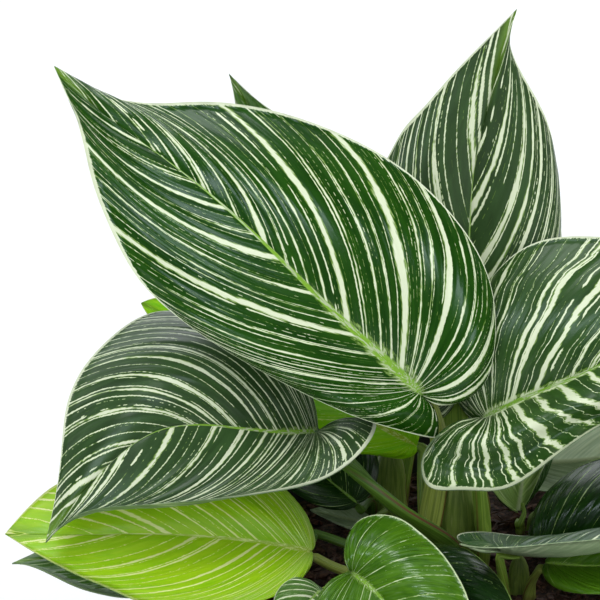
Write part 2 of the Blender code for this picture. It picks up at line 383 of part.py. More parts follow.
        mid=[("at", 320, 590, -47), ("at", 306, 604, -56), ("at", 291, 619, -66), ("at", 276, 636, -75)],
        up=(0.15, -0.45, 0.88), half=0.0092, fold=(0.15, 0.15), droop=0.25),
    "blade_small_grey": dict(
        facing=-1,
        mid=[(0, 371, 524, 12), (0.4, 348, 519, 15), (0.7, 330, 515, 17), (1, 310, 510, 20)],
        right=[(0, 371, 526, 11), (0.06, 369, 530, 9), (0.12, 364, 532, 8), (0.18, 358, 532, 8), (0.25, 352, 530, 8), (0.32, 347, 528, 9),
               (0.40, 342, 526, 10), (0.48, 337, 524, 11), (0.55, 333, 522, 12), (0.62, 329, 520, 14), (0.70, 325, 518, 15),
               (0.78, 321, 516, 17), (0.86, 317, 514, 18), (0.93, 313, 512, 19), (1, 310, 510, 20)],
        left=[(0, 371, 523, 13), (0.06, 371, 519, 15), (0.12, 368, 515, 17), (0.18, 363, 512, 18), (0.25, 357, 510, 19), (0.32, 351, 508, 20),
              (0.40, 345, 507, 21), (0.48, 339, 506, 21), (0.55, 334, 506, 21), (0.62, 329, 506, 21), (0.70, 325, 506, 21),
              (0.78, 321, 507, 21), (0.86, 317, 508, 20), (0.93, 313, 509, 20), (1, 310, 510, 20)],
        rise=[(0, 0, 0), (0.3, 1, 0), (0.6, 1, 0), (1, 0, 0)]),
    "blade_rear_left": dict(
        mid=[(-0.030, 0.064, 0.138), (-0.052, 0.088, 0.144), (-0.074, 0.113, 0.140), (-0.092, 0.135, 0.123)],
        up=(0.0, 0.25, 0.97), up_tip=(-0.35, 0.45, 0.80), half=0.034, fold=(0.20, 0.20), droop=0.32, ripple=0.001),
    "blade_rear": dict(
        mid=[(-0.002, 0.066, 0.160), (-0.007, 0.095, 0.172), (-0.013, 0.126, 0.174), (-0.019, 0.154, 0.163)],
        up=(0.0, 0.20, 0.98), up_tip=(0.0, 0.60, 0.80), half=0.034, fold=(0.22, 0.22), droop=0.32, ripple=0.001),
}

# ---------------------------------------------------------------- shoots and stalks
# Each shoot: centre (x, y), radius and height above the potting mix, in metres.
SHOOTS = {
    "stem_main": (0.0, 0.0, 0.0052, 0.024),
    "stem_front_left": (-0.019, -0.016, 0.0032, 0.010),
    "stem_front_right": (0.018, -0.015, 0.0032, 0.012),
    "stem_back_right": (0.026, 0.022, 0.0032, 0.006),
    "stem_back_left": (-0.019, 0.031, 0.0032, 0.012),
}
# Each stalk: its shoot, foot angle and foot ring radius; points (x, y, depth)
# of the drawing it passes; and (share, half width, half thickness) in mm.
STALKS = {
    "large_front": ("stem_main", 205, 8.8, [(439, 440, -19)], [(0, 3.3, 1.8), (0.3, 4.4, 1.9), (0.6, 3.0, 2.0), (1, 2.1, 1.9)]),
    "upright_back": ("stem_main", 50, 8.8, [(456, 430, -7)], [(0, 3.3, 1.8), (0.3, 3.6, 1.9), (0.6, 2.8, 2.0), (1, 2.2, 1.9)]),
    "right_large": ("stem_main", 330, 8.8, [(478, 450, -24)], [(0, 3.3, 1.8), (0.3, 4.2, 1.9), (0.6, 3.0, 2.0), (1, 2.0, 1.9)]),
    "left_curled": ("stem_main", 265, 8.8, [(400, 510, -20), (355, 470, -18)], [(0, 3.4, 1.8), (0.25, 5.4, 1.9), (0.6, 4.0, 2.1), (1, 2.6, 2.2)]),
    "pale_behind": ("stem_main", 150, 8.8, [], [(0, 3.3, 1.8), (0.4, 3.2, 1.8), (1, 1.9, 1.8)]),
    "tall_behind": ("stem_main", 98, 8.8, [], [(0, 3.2, 1.8), (0.4, 2.8, 1.8), (1, 1.9, 1.8)]),
    "lime_low": ("stem_front_left", 195, 6.2, [(348, 572, -19)], [(0, 2.3, 1.5), (0.4, 1.8, 1.5), (1, 1.4, 1.4)]),
    "dark_low": ("stem_front_left", 140, 6.2, [], [(0, 2.3, 1.5), (0.4, 1.7, 1.4), (1, 1.3, 1.3)]),
    "glossy_front": ("stem_front_left", 240, 6.2, [], [(0, 2.3, 1.5), (0.4, 1.8, 1.5), (1, 1.5, 1.4)]),
    "dark_front": ("stem_front_left", 300, 6.2, [], [(0, 2.3, 1.5), (0.4, 1.7, 1.4), (1, 1.3, 1.3)]),
    "small_striped": ("stem_front_left", 218, 10.5, [], [(0, 1.3, 1.2), (1, 1.1, 1.1)]),
    "edge_on": ("stem_front_right", 250, 14.0, [], [(0, 2.3, 1.5), (0.4, 1.8, 1.5), (1, 1.4, 1.3)], (1.0, 4.5, 0)),
    "low_right": ("stem_front_right", 297, 6.2, [], [(0, 2.3, 1.5), (0.4, 1.7, 1.4), (1, 1.3, 1.3)]),
    "dark_right": ("stem_back_right", 278, 6.2, [], [(0, 2.3, 1.5), (1, 1.3, 1.3)]),
    "pale_underside": ("stem_back_right", 212, 6.2, [], [(0, 1.6, 1.4), (1, 1.2, 1.2)], (0, 3.0, 1.5)),
    "grey_right": ("stem_back_right", 118, 14.0, [], [(0, 2.0, 1.5), (1, 1.4, 1.3)], (0, 3.0, 0)),
    "rear": ("stem_back_left", 50, 6.2, [], [(0, 2.3, 1.6), (0.4, 2.2, 1.7), (1, 1.9, 1.8)]),
    "shaded_left": ("stem_back_left", 212, 6.2, [], [(0, 2.2, 1.5), (1, 1.4, 1.3)]),
    "small_grey": ("stem_back_left", 268, 6.2, [], [(0, 1.3, 1.2), (1, 1.0, 1.0)]),
    "rear_left": ("stem_back_left", 125, 6.2, [], [(0, 2.3, 1.6), (0.4, 2.2, 1.7), (1, 1.9, 1.8)]),
}
BLADE_THICK = 0.0010
STALK_GAP = 0.0004   # from the end of a stalk to the underside of its blade


def stalk_path(key):
    """Centre line and section frames of a stalk: returns f(t) -> (point, side,
    front, half width, half thickness)."""
    shoot, angle, ring, via, widths = STALKS[key][:5]
    shift = STALKS[key][5] if len(STALKS[key]) > 5 else None
    cx, cy = SHOOTS[shoot][:2]
    a = math.radians(angle)
    out = np.array([math.cos(a), math.sin(a), 0.0])
    foot = np.array([cx, cy, SOIL_Z + 0.0004]) + out * ring * 0.001
    surface = blade_surface(BLADES["blade_" + key])
    top = surface(np.array([0.0]), np.array([0.0]))[0]
    inner = surface(np.array([0.30]), np.array([0.0]))[0]
    across = unit(surface(np.array([0.3]), np.array([0.35]))[0] - surface(np.array([0.3]), np.array([-0.35]))[0])
    points = [foot, foot + np.array([0, 0, 0.004]) + out * 0.0004] + [at(*v) for v in via]
    blade = BLADES["blade_" + key]
    face = unit(np.cross(across, inner - top))
    skyward = -EYE_F * blade.get("attach", blade.get("facing", 1)) if "left" in blade else np.array(blade["up"], float)
    if face @ skyward < 0:
        face = -face
    along = unit(inner - top)
    rest = widths[-1][2] * 0.001 + BLADE_THICK / 2 + STALK_GAP
    end = top - face * rest - along * 0.0015
    if shift is not None:
        end = end + (EYE_R * shift[0] - EYE_U * shift[1] + EYE_F * shift[2]) * 0.001
    points.append(end)
    pts = np.array(points)
    chord = np.concatenate([[0], np.cumsum(np.linalg.norm(np.diff(pts, axis=0), axis=1))])
    chord = chord / chord[-1]
    line = spline(chord, pts)
    wt = smooth([w[0] for w in widths], [w[1:] for w in widths])
    side0 = np.array([-math.sin(a), math.cos(a), 0.0])
    if side0 @ across < 0:
        side0 = -side0

    def f(t):
        t = np.atleast_1d(np.asarray(t, float))
        p = line(t)
        d = unit(line(np.clip(t + 1e-3, 0, 1)) - line(np.clip(t - 1e-3, 0, 1)))
        d[0 if t[0] == 0 else slice(0, 0)] = np.array([0, 0, 1.0])
        side = unit(side0 * (1 - t)[:, None] + across * t[:, None])
        side = unit(side - d * np.sum(side * d, axis=1, keepdims=True))
        front = np.cross(side, d)
        ww = wt(t) * 0.001
        return p, side, front, ww[:, 0], ww[:, 1]

    return f


def stalk_rings(key, rings, sides):
    """Vertices (rings, sides, 3) of a stalk's rounded, slightly channelled skin."""
    t = np.linspace(0, 1, rings)
    p, side, front, w, h = stalk_path(key)(t)
    a = 2 * np.pi * np.arange(sides) / sides
    c, s = np.cos(a), np.sin(a)
    return p[:, None, :] + side[:, None, :] * (w[:, None] * c)[..., None] + front[:, None, :] * (h[:, None] * s)[..., None]

# ---------------------------------------------------------------- pot and mix
POT_HEIGHT_M = POT_HEIGHT
POT_TOP_R = 0.0700         # outside radius under the rolled rim
POT_RIM_R = 0.0725         # outside radius of the rolled rim
POT_FOOT_R = 0.0520        # outside radius at the foot
POT_WALL = 0.0022
POT_FLOOR = 0.0030
RIM_DEPTH = 0.0110
MIX_GAP = 0.0004
SEGMENTS = 40
PLANT = "philodendron_birkin_in_pot"


def clear():
    for ob in list(bpy.data.objects):
        bpy.data.objects.remove(ob, do_unlink=True)
    for me in list(bpy.data.meshes):
        bpy.data.meshes.remove(me)
    for ma in list(bpy.data.materials):
        bpy.data.materials.remove(ma)
    for co in list(bpy.data.collections):
        bpy.data.collections.remove(co)


def collection(name):
    c = bpy.data.collections.new(name)
    bpy.context.scene.collection.children.link(c)
    return c


def paint(name, colour, rough):
    m = bpy.data.materials.new(name)
    m.use_nodes = True
    b = m.node_tree.nodes["Principled BSDF"]
    b.inputs["Base Color"].default_value = (*colour, 1.0)
    b.inputs["Roughness"].default_value = rough
    m.diffuse_color = (*colour, 1.0)
    return m


def add(where, name, verts, faces, colour, rough):
    me = bpy.data.meshes.new(name)
    me.from_pydata([tuple(map(float, v)) for v in verts], [], [tuple(int(i) for i in f) for f in faces])
    me.update()
    ob = bpy.data.objects.new(name, me)
    where.objects.link(ob)
    me.materials.append(paint(name, colour, rough))
    return ob


def turned(where, name, outline, colour, rough):
    """Body of revolution about Z from an outline of (radius, height)."""
    me = bpy.data.meshes.new(name)
    me.from_pydata([(r, 0.0, z) for r, z in outline], [(i, i + 1) for i in range(len(outline) - 1)], [])
    ob = bpy.data.objects.new(name, me)
    where.objects.link(ob)
    me.materials.append(paint(name, colour, rough))
    sc = ob.modifiers.new("turn", "SCREW")
    sc.axis = "Z"
    sc.angle = 2 * math.pi
    sc.steps = sc.render_steps = SEGMENTS
    sc.use_merge_vertices = True
    sc.merge_threshold = 0.00001
    return ob


def wall_r(z):
    """Outside radius of the pot's wall at height z."""
    return POT_FOOT_R + (POT_TOP_R - POT_FOOT_R) * z / POT_HEIGHT_M


def build_pot(parts):
    h, w = POT_HEIGHT_M, POT_WALL
    outline = [
        (0.0, POT_FLOOR), (wall_r(POT_FLOOR) - w - 0.002, POT_FLOOR), (wall_r(POT_FLOOR + 0.002) - w, POT_FLOOR + 0.002),
        (wall_r(h - RIM_DEPTH) - w, h - RIM_DEPTH), (wall_r(h) - w, h - 0.0012), (wall_r(h) - w + 0.0010, h),
        (POT_RIM_R - 0.0010, h), (POT_RIM_R, h - 0.0012), (POT_RIM_R - 0.0006, h - RIM_DEPTH + 0.001), (POT_RIM_R - 0.0014, h - RIM_DEPTH),
        (wall_r(h - RIM_DEPTH), h - RIM_DEPTH), (wall_r(0.004), 0.004), (POT_FOOT_R - 0.0016, 0.0), (0.0, 0.0),
    ]
    pot = turned(parts, "pot", outline, (0.045, 0.045, 0.047), 0.6)
    return pot


def build_mix(parts):
    z0, z1 = POT_FLOOR + 0.0006, SOIL_Z
    g = POT_WALL + MIX_GAP
    outline = [(0.0, z1), (0.045, z1), (wall_r(z1 - 0.003) - g - 0.0006, z1 - 0.003), (wall_r(z0 + 0.004) - g - 0.0006, z0 + 0.004),
               (wall_r(z0) - g - 0.0045, z0), (0.0, z0)]
    return turned(parts, "potting_mix", outline, (0.075, 0.032, 0.018), 0.95)


def build_shoot(parts, name):
    x, y, r, h = SHOOTS[name]
    z0 = SOIL_Z + 0.0004
    rings = [(z0, r * 1.12), (z0 + 0.35 * h, r), (z0 + 0.8 * h, r * 0.72), (z0 + h, r * 0.35)]
    n = 12
    verts = [(x, y, z0)]
    for z, rr in rings:
        verts += [(x + rr * math.cos(2 * math.pi * i / n), y + rr * math.sin(2 * math.pi * i / n), z) for i in range(n)]
    verts.append((x, y, z0 + h + 0.0008))
    faces = []
    for i in range(n):
        j = (i + 1) % n
        faces.append((0, 1 + j, 1 + i))
        for k in range(len(rings) - 1):
            a = 1 + k * n
            faces.append((a + i, a + j, a + n + j, a + n + i))
        a = 1 + (len(rings) - 1) * n
        faces.append((a + i, a + j, len(verts) - 1))
    return add(parts, name, verts, faces, (0.13, 0.17, 0.055), 0.55)


LEAF_U = [0.0, 0.07, 0.14, 0.22, 0.31, 0.41, 0.51, 0.62, 0.73, 0.84, 0.93]
LEAF_W = [-1.0, -0.68, -0.34, 0.0, 0.34, 0.68, 1.0]


def build_blade(parts, name):
    surface = blade_surface(BLADES[name])
    u, w = np.meshgrid(LEAF_U, LEAF_W, indexing="ij")
    grid = surface(u, w)
    nu, nw = u.shape
    verts = list(grid.reshape(-1, 3)) + [surface(np.array([1.0]), np.array([0.0]))[0]]
    faces = []
    for i in range(nu - 1):
        for j in range(nw - 1):
            a = i * nw + j
            faces.append((a, a + nw, a + nw + 1, a + 1))
    tip = nu * nw
    for j in range(nw - 1):
        a = (nu - 1) * nw + j
        faces.append((a, tip, a + 1))
    tone = LEAF_TONE.get(name[6:], (0.05, 0.12, 0.03))
    ob = add(parts, name, verts, faces, tone, 0.4)
    so = ob.modifiers.new("thickness", "SOLIDIFY")
    so.thickness = BLADE_THICK
    so.offset = 0.0
    return ob


LEAF_TONE = {
    "lime_low": (0.22, 0.36, 0.05), "pale_behind": (0.16, 0.33, 0.04), "pale_underside": (0.30, 0.40, 0.12),
    "grey_right": (0.20, 0.27, 0.14), "small_grey": (0.20, 0.27, 0.14), "small_striped": (0.45, 0.50, 0.30),
    "dark_low": (0.05, 0.13, 0.02), "tall_behind": (0.07, 0.17, 0.03),
}
STALK_RINGS, STALK_SIDES = 9, 8


def build_stalk(parts, key):
    rings = stalk_rings(key, STALK_RINGS, STALK_SIDES)
    n = STALK_SIDES
    verts = list(rings.reshape(-1, 3))
    faces = [tuple(range(n)), tuple(reversed(range((STALK_RINGS - 1) * n, STALK_RINGS * n)))]
    for k in range(STALK_RINGS - 1):
        for i in range(n):
            a, b = k * n + i, k * n + (i + 1) % n
            faces.append((b, a, a + n, b + n))
    tone = (0.16, 0.24, 0.06) if key not in ("left_curled", "dark_low", "shaded_left") else (0.06, 0.13, 0.04)
    return add(parts, "stalk_" + key, verts, faces, tone, 0.4)


def main():
    clear()
    parts = collection(PLANT)
    build_pot(parts)
    build_mix(parts)
    for name in SHOOTS:
        build_shoot(parts, name)
    for name in BLADES:
        build_blade(parts, name)
    for key in STALKS:
        build_stalk(parts, key)


main()
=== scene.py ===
import bpy
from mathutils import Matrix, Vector
import math
import numpy as np


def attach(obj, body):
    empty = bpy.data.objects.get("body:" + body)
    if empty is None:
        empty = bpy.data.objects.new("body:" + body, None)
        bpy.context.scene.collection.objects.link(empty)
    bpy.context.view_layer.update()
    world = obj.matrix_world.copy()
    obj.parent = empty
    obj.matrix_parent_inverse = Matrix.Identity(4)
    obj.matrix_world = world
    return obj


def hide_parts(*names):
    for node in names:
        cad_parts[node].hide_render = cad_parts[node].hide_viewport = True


# ---------------------------------------------------------------- frame
# Origin: centre of the pot's underside.  +Z up, -Y is the plant's front.
POT_HEIGHT = 0.115
SOIL_Z = 0.1045            # top of the potting mix at the crown
VIEW_ELEVATION = math.radians(25.0)
GAUGE = 0.0003             # metres per gauge unit, in the drawing plane
REACH = 0.95               # distance of the eye from the drawing plane
EYE_R = np.array([1.0, 0.0, 0.0])
EYE_U = np.array([0.0, math.sin(VIEW_ELEVATION), math.cos(VIEW_ELEVATION)])
EYE_F = np.array([0.0, math.cos(VIEW_ELEVATION), -math.sin(VIEW_ELEVATION)])
CROWN_X, CROWN_Y = 455.0, 565.0   # the crown in the 600 x 600 drawing
AIM = (
    np.array([0.0, 0.0, SOIL_Z])
    - EYE_R * (CROWN_X - 300.0) * GAUGE
    + EYE_U * (CROWN_Y - 300.0) * GAUGE
)


def at(x, y, d):
    """Drawing position (x right, y down, 600 x 600) and depth d in mm behind
    the drawing plane, as a point in metres."""
    x, y, d = np.asarray(x, float), np.asarray(y, float), np.asarray(d, float)
    s = GAUGE * (REACH + d / 1000.0) / REACH
    return (
        AIM
        + EYE_F * (d / 1000.0)[..., None]
        + EYE_R * ((x - 300.0) * s)[..., None]
        + EYE_U * ((300.0 - y) * s)[..., None]
    )


def spline(us, values):
    """Natural cubic spline through values at us; returns a function of u."""
    us = np.asarray(us, float)
    p = np.asarray(values, float).reshape(len(us), -1)
    n = len(us)
    h = np.diff(us)
    if n == 2:
        m = np.zeros_like(p)
    else:
        a = np.zeros((n, n))
        r = np.zeros_like(p)
        a[0, 0] = a[-1, -1] = 1.0
        for i in range(1, n - 1):
            a[i, i - 1], a[i, i], a[i, i + 1] = h[i - 1], 2 * (h[i - 1] + h[i]), h[i]
            r[i] = 6 * ((p[i + 1] - p[i]) / h[i] - (p[i] - p[i - 1]) / h[i - 1])
        m = np.linalg.solve(a, r)

    def f(u):
        u = np.atleast_1d(np.asarray(u, float))
        k = np.clip(np.searchsorted(us, u, side="right") - 1, 0, n - 2)
        hk = h[k][:, None]
        t0 = (us[k + 1] - u)[:, None]
        t1 = (u - us[k])[:, None]
        return (
            m[k] * t0**3 / (6 * hk)
            + m[k + 1] * t1**3 / (6 * hk)
            + (p[k] / hk - m[k] * hk / 6) * t0
            + (p[k + 1] / hk - m[k + 1] * hk / 6) * t1
        )

    return f


def smooth(us, values):
    """Monotone-friendly cubic (PCHIP) through values at us, column by column."""
    us = np.asarray(us, float)
    p = np.asarray(values, float).reshape(len(us), -1)
    h = np.diff(us)[:, None]
    s = np.diff(p, axis=0) / h
    n = len(us)
    d = np.zeros_like(p)
    if n == 2:
        d[:] = s[0]
    else:
        for i in range(1, n - 1):
            w1, w2 = 2 * h[i] + h[i - 1], h[i] + 2 * h[i - 1]
            ok = s[i - 1] * s[i] > 0
            safe = np.where(ok, s[i - 1] * s[i], 1.0)
            num = (w1 + w2) * safe
            den = w1 * s[i] + w2 * s[i - 1]
            d[i] = np.where(ok, num / np.where(np.abs(den) < 1e-12, 1.0, den), 0.0)
        d[0], d[-1] = s[0], s[-1]

    def f(u):
        u = np.atleast_1d(np.asarray(u, float))
        k = np.clip(np.searchsorted(us, u, side="right") - 1, 0, n - 2)
        t = ((u - us[k]) / h[k, 0])[:, None]
        hk = h[k]
        return (
            p[k] * (2 * t**3 - 3 * t**2 + 1)
            + d[k] * hk * (t**3 - 2 * t**2 + t)
            + p[k + 1] * (-2 * t**3 + 3 * t**2)
            + d[k + 1] * hk * (t**3 - t**2)
        )

    return f


# Where each side vein leaves the midrib, as a share of the blade's length.
VEIN_U = [0, 0.06, 0.12, 0.18, 0.25, 0.32, 0.40, 0.48, 0.55, 0.62, 0.70, 0.78, 0.86, 0.93, 1.0]
VEIN_F = [0, 0.004, 0.008, 0.012, 0.017, 0.023, 0.032, 0.050, 0.09, 0.16, 0.27, 0.39, 0.55, 0.75, 1.0]
vein_start = smooth(VEIN_U, VEIN_F)

# Margin of a heart-based pointed blade: (u, across in half widths, along in lengths).
HEART = [
    (0.00, 0.03, -0.004), (0.06, 0.26, -0.075), (0.12, 0.52, -0.095), (0.18, 0.75, -0.060),
    (0.25, 0.92, 0.030), (0.32, 1.00, 0.150), (0.40, 0.99, 0.290), (0.48, 0.92, 0.420),
    (0.55, 0.82, 0.530), (0.62, 0.69, 0.640), (0.70, 0.52, 0.745), (0.78, 0.35, 0.835),
    (0.86, 0.19, 0.905), (0.93, 0.08, 0.955), (1.00, 0.0, 1.0),
]


def drawn_blade(b):
    """Blade given by its midrib and both margins in the drawing.  Returns
    surface(u, w) with w from -1, the left margin, to 1, the right one."""
    mid = spline([r[0] for r in b["mid"]], [r[1:4] for r in b["mid"]])
    length_u = [r[0] for r in b["mid"]]
    sides = {}
    for key, hand in (("left", -1.0), ("right", 1.0)):
        rows = b[key]
        edge = smooth([r[0] for r in rows], [r[1:4] for r in rows]) if b.get("tight") else spline([r[0] for r in rows], [r[1:4] for r in rows])
        bend = smooth([0, 0.1, 0.3, 0.6, 0.85, 1.0], b.get("bend_" + key, b.get("bend", [0.10, 0.26, 0.24, 0.20, 0.14, 0.0])))
        rise = b.get("rise_" + key, b.get("rise", [(0, 0, 0), (0.3, 6, 0), (0.6, 6, 0), (1, 0, 0)]))
        lift = smooth([r[0] for r in rise], [r[1:3] for r in rise])
        ripple = b.get("ripple_" + key, [])
        sides[key] = (hand * b.get("facing", 1), edge, bend, lift, ripple)

    def surface(u, w):
        u, w = np.broadcast_arrays(np.asarray(u, float), np.asarray(w, float))
        shape = u.shape
        u, w = u.ravel(), w.ravel()
        f = u if b.get("mid_by_u") else vein_start(u)[:, 0] ** b.get("sweep", 1.0)
        m = mid(f)
        out = np.empty_like(m)
        for key, pick in (("left", w < 0), ("right", w >= 0)):
            if not pick.any():
                continue
            hand, edge, bend, lift, ripple = sides[key]
            uu, v = u[pick], np.abs(w[pick])[:, None]
            mm, ee = m[pick], edge(uu)
            c = ee - mm
            away = np.stack([-c[:, 1], c[:, 0], 0 * c[:, 0]], 1) * hand
            vv = (mm + ee) / 2 + away * bend(uu)
            p = mm * (1 - v) ** 2 + vv * 2 * v * (1 - v) + ee * v**2
            a = lift(uu)
            bulge = a[:, :1] * np.sin(np.pi * v**0.85) + a[:, 1:2] * np.sin(2 * np.pi * v)
            for amp, waves, phase, power, u0, u1 in ripple:
                inside = np.clip((uu - u0) / 0.06, 0, 1) * np.clip((u1 - uu) / 0.06, 0, 1)
                bulge = bulge + (amp * np.sin(2 * np.pi * (waves * uu + phase)) * inside)[:, None] * v**power
            p = p.copy()
            p[:, 2:3] -= bulge * b.get("facing", 1)
            out[pick] = p
        return at(out[:, 0], out[:, 1], out[:, 2]).reshape(shape + (3,))

    return surface


def unit(v):
    v = np.asarray(v, float)
    return v / np.maximum(np.linalg.norm(v, axis=-1, keepdims=True), 1e-12)


def grown_blade(b):
    """Blade given by a midrib in space, a half width and how it folds."""
    pts = np.array([at(*p[1:]) if p[0] == "at" else p for p in b["mid"]], float)
    chord = np.concatenate([[0], np.cumsum(np.linalg.norm(np.diff(pts, axis=0), axis=1))])
    total = chord[-1]
    mid = spline(chord / total, pts)
    n0, n1 = unit(b["up"]), unit(b.get("up_tip", b["up"]))
    half = b["half"]
    fold_l, fold_r = b.get("fold", (0.25, 0.25))
    droop = b.get("droop", 0.25)
    edge = spline([r[0] for r in HEART], [r[1:] for r in HEART])
    bend = smooth([0, 0.1, 0.3, 0.6, 0.85, 1.0], b.get("bend", [0.10, 0.26, 0.24, 0.20, 0.14, 0.0]))
    ripple = b.get("ripple", 0.0)
    narrow = b.get("narrow", 0.0)

    def surface(u, w):
        u, w = np.broadcast_arrays(np.asarray(u, float), np.asarray(w, float))
        shape = u.shape
        u, w = u.ravel(), w.ravel()
        hand = np.where(w < 0, -1.0, 1.0)
        v = np.abs(w)
        f = vein_start(u)[:, 0]
        e = edge(u)
        ex, ey = np.maximum(e[:, 0], 0.0) * half, e[:, 1] * total
        mx, my = 0.0, f * total
        cx, cy = ex - mx, ey - my
        bb = bend(u)[:, 0]
        vx, vy = (ex + mx) / 2 + cy * bb, (ey + my) / 2 - cx * bb
        x = mx * (1 - v) ** 2 + vx * 2 * v * (1 - v) + ex * v**2
        y = my * (1 - v) ** 2 + vy * 2 * v * (1 - v) + ey * v**2
        x = x * (1 - narrow * np.clip(y / total, 0, 1))
        g = np.clip(y / total, 0, 1)
        base = mid(g)
        step = 1e-3
        t = unit(mid(np.clip(g + step, 0, 1)) - mid(np.clip(g - step, 0, 1)))
        back = np.minimum(y, 0)[:, None]
        base = base + t * back
        up = unit(n0 * (1 - g)[:, None] + n1 * g[:, None])
        side = unit(np.cross(t, up))
        top = np.cross(side, t)
        r = np.abs(x) / half
        fold = np.where(hand < 0, fold_l, fold_r)
        height = half * (fold * r - droop * r**2) + ripple * r**2 * np.sin(u * 21.0 + hand)
        height = height + np.where(y < 0, -0.35 * np.abs(y), 0.0)
        p = base + side * (x * hand)[:, None] + top * height[:, None]
        return p.reshape(shape + (3,))

    return surface


def blade_surface(b):
    return drawn_blade(b) if "left" in b else grown_blade(b)

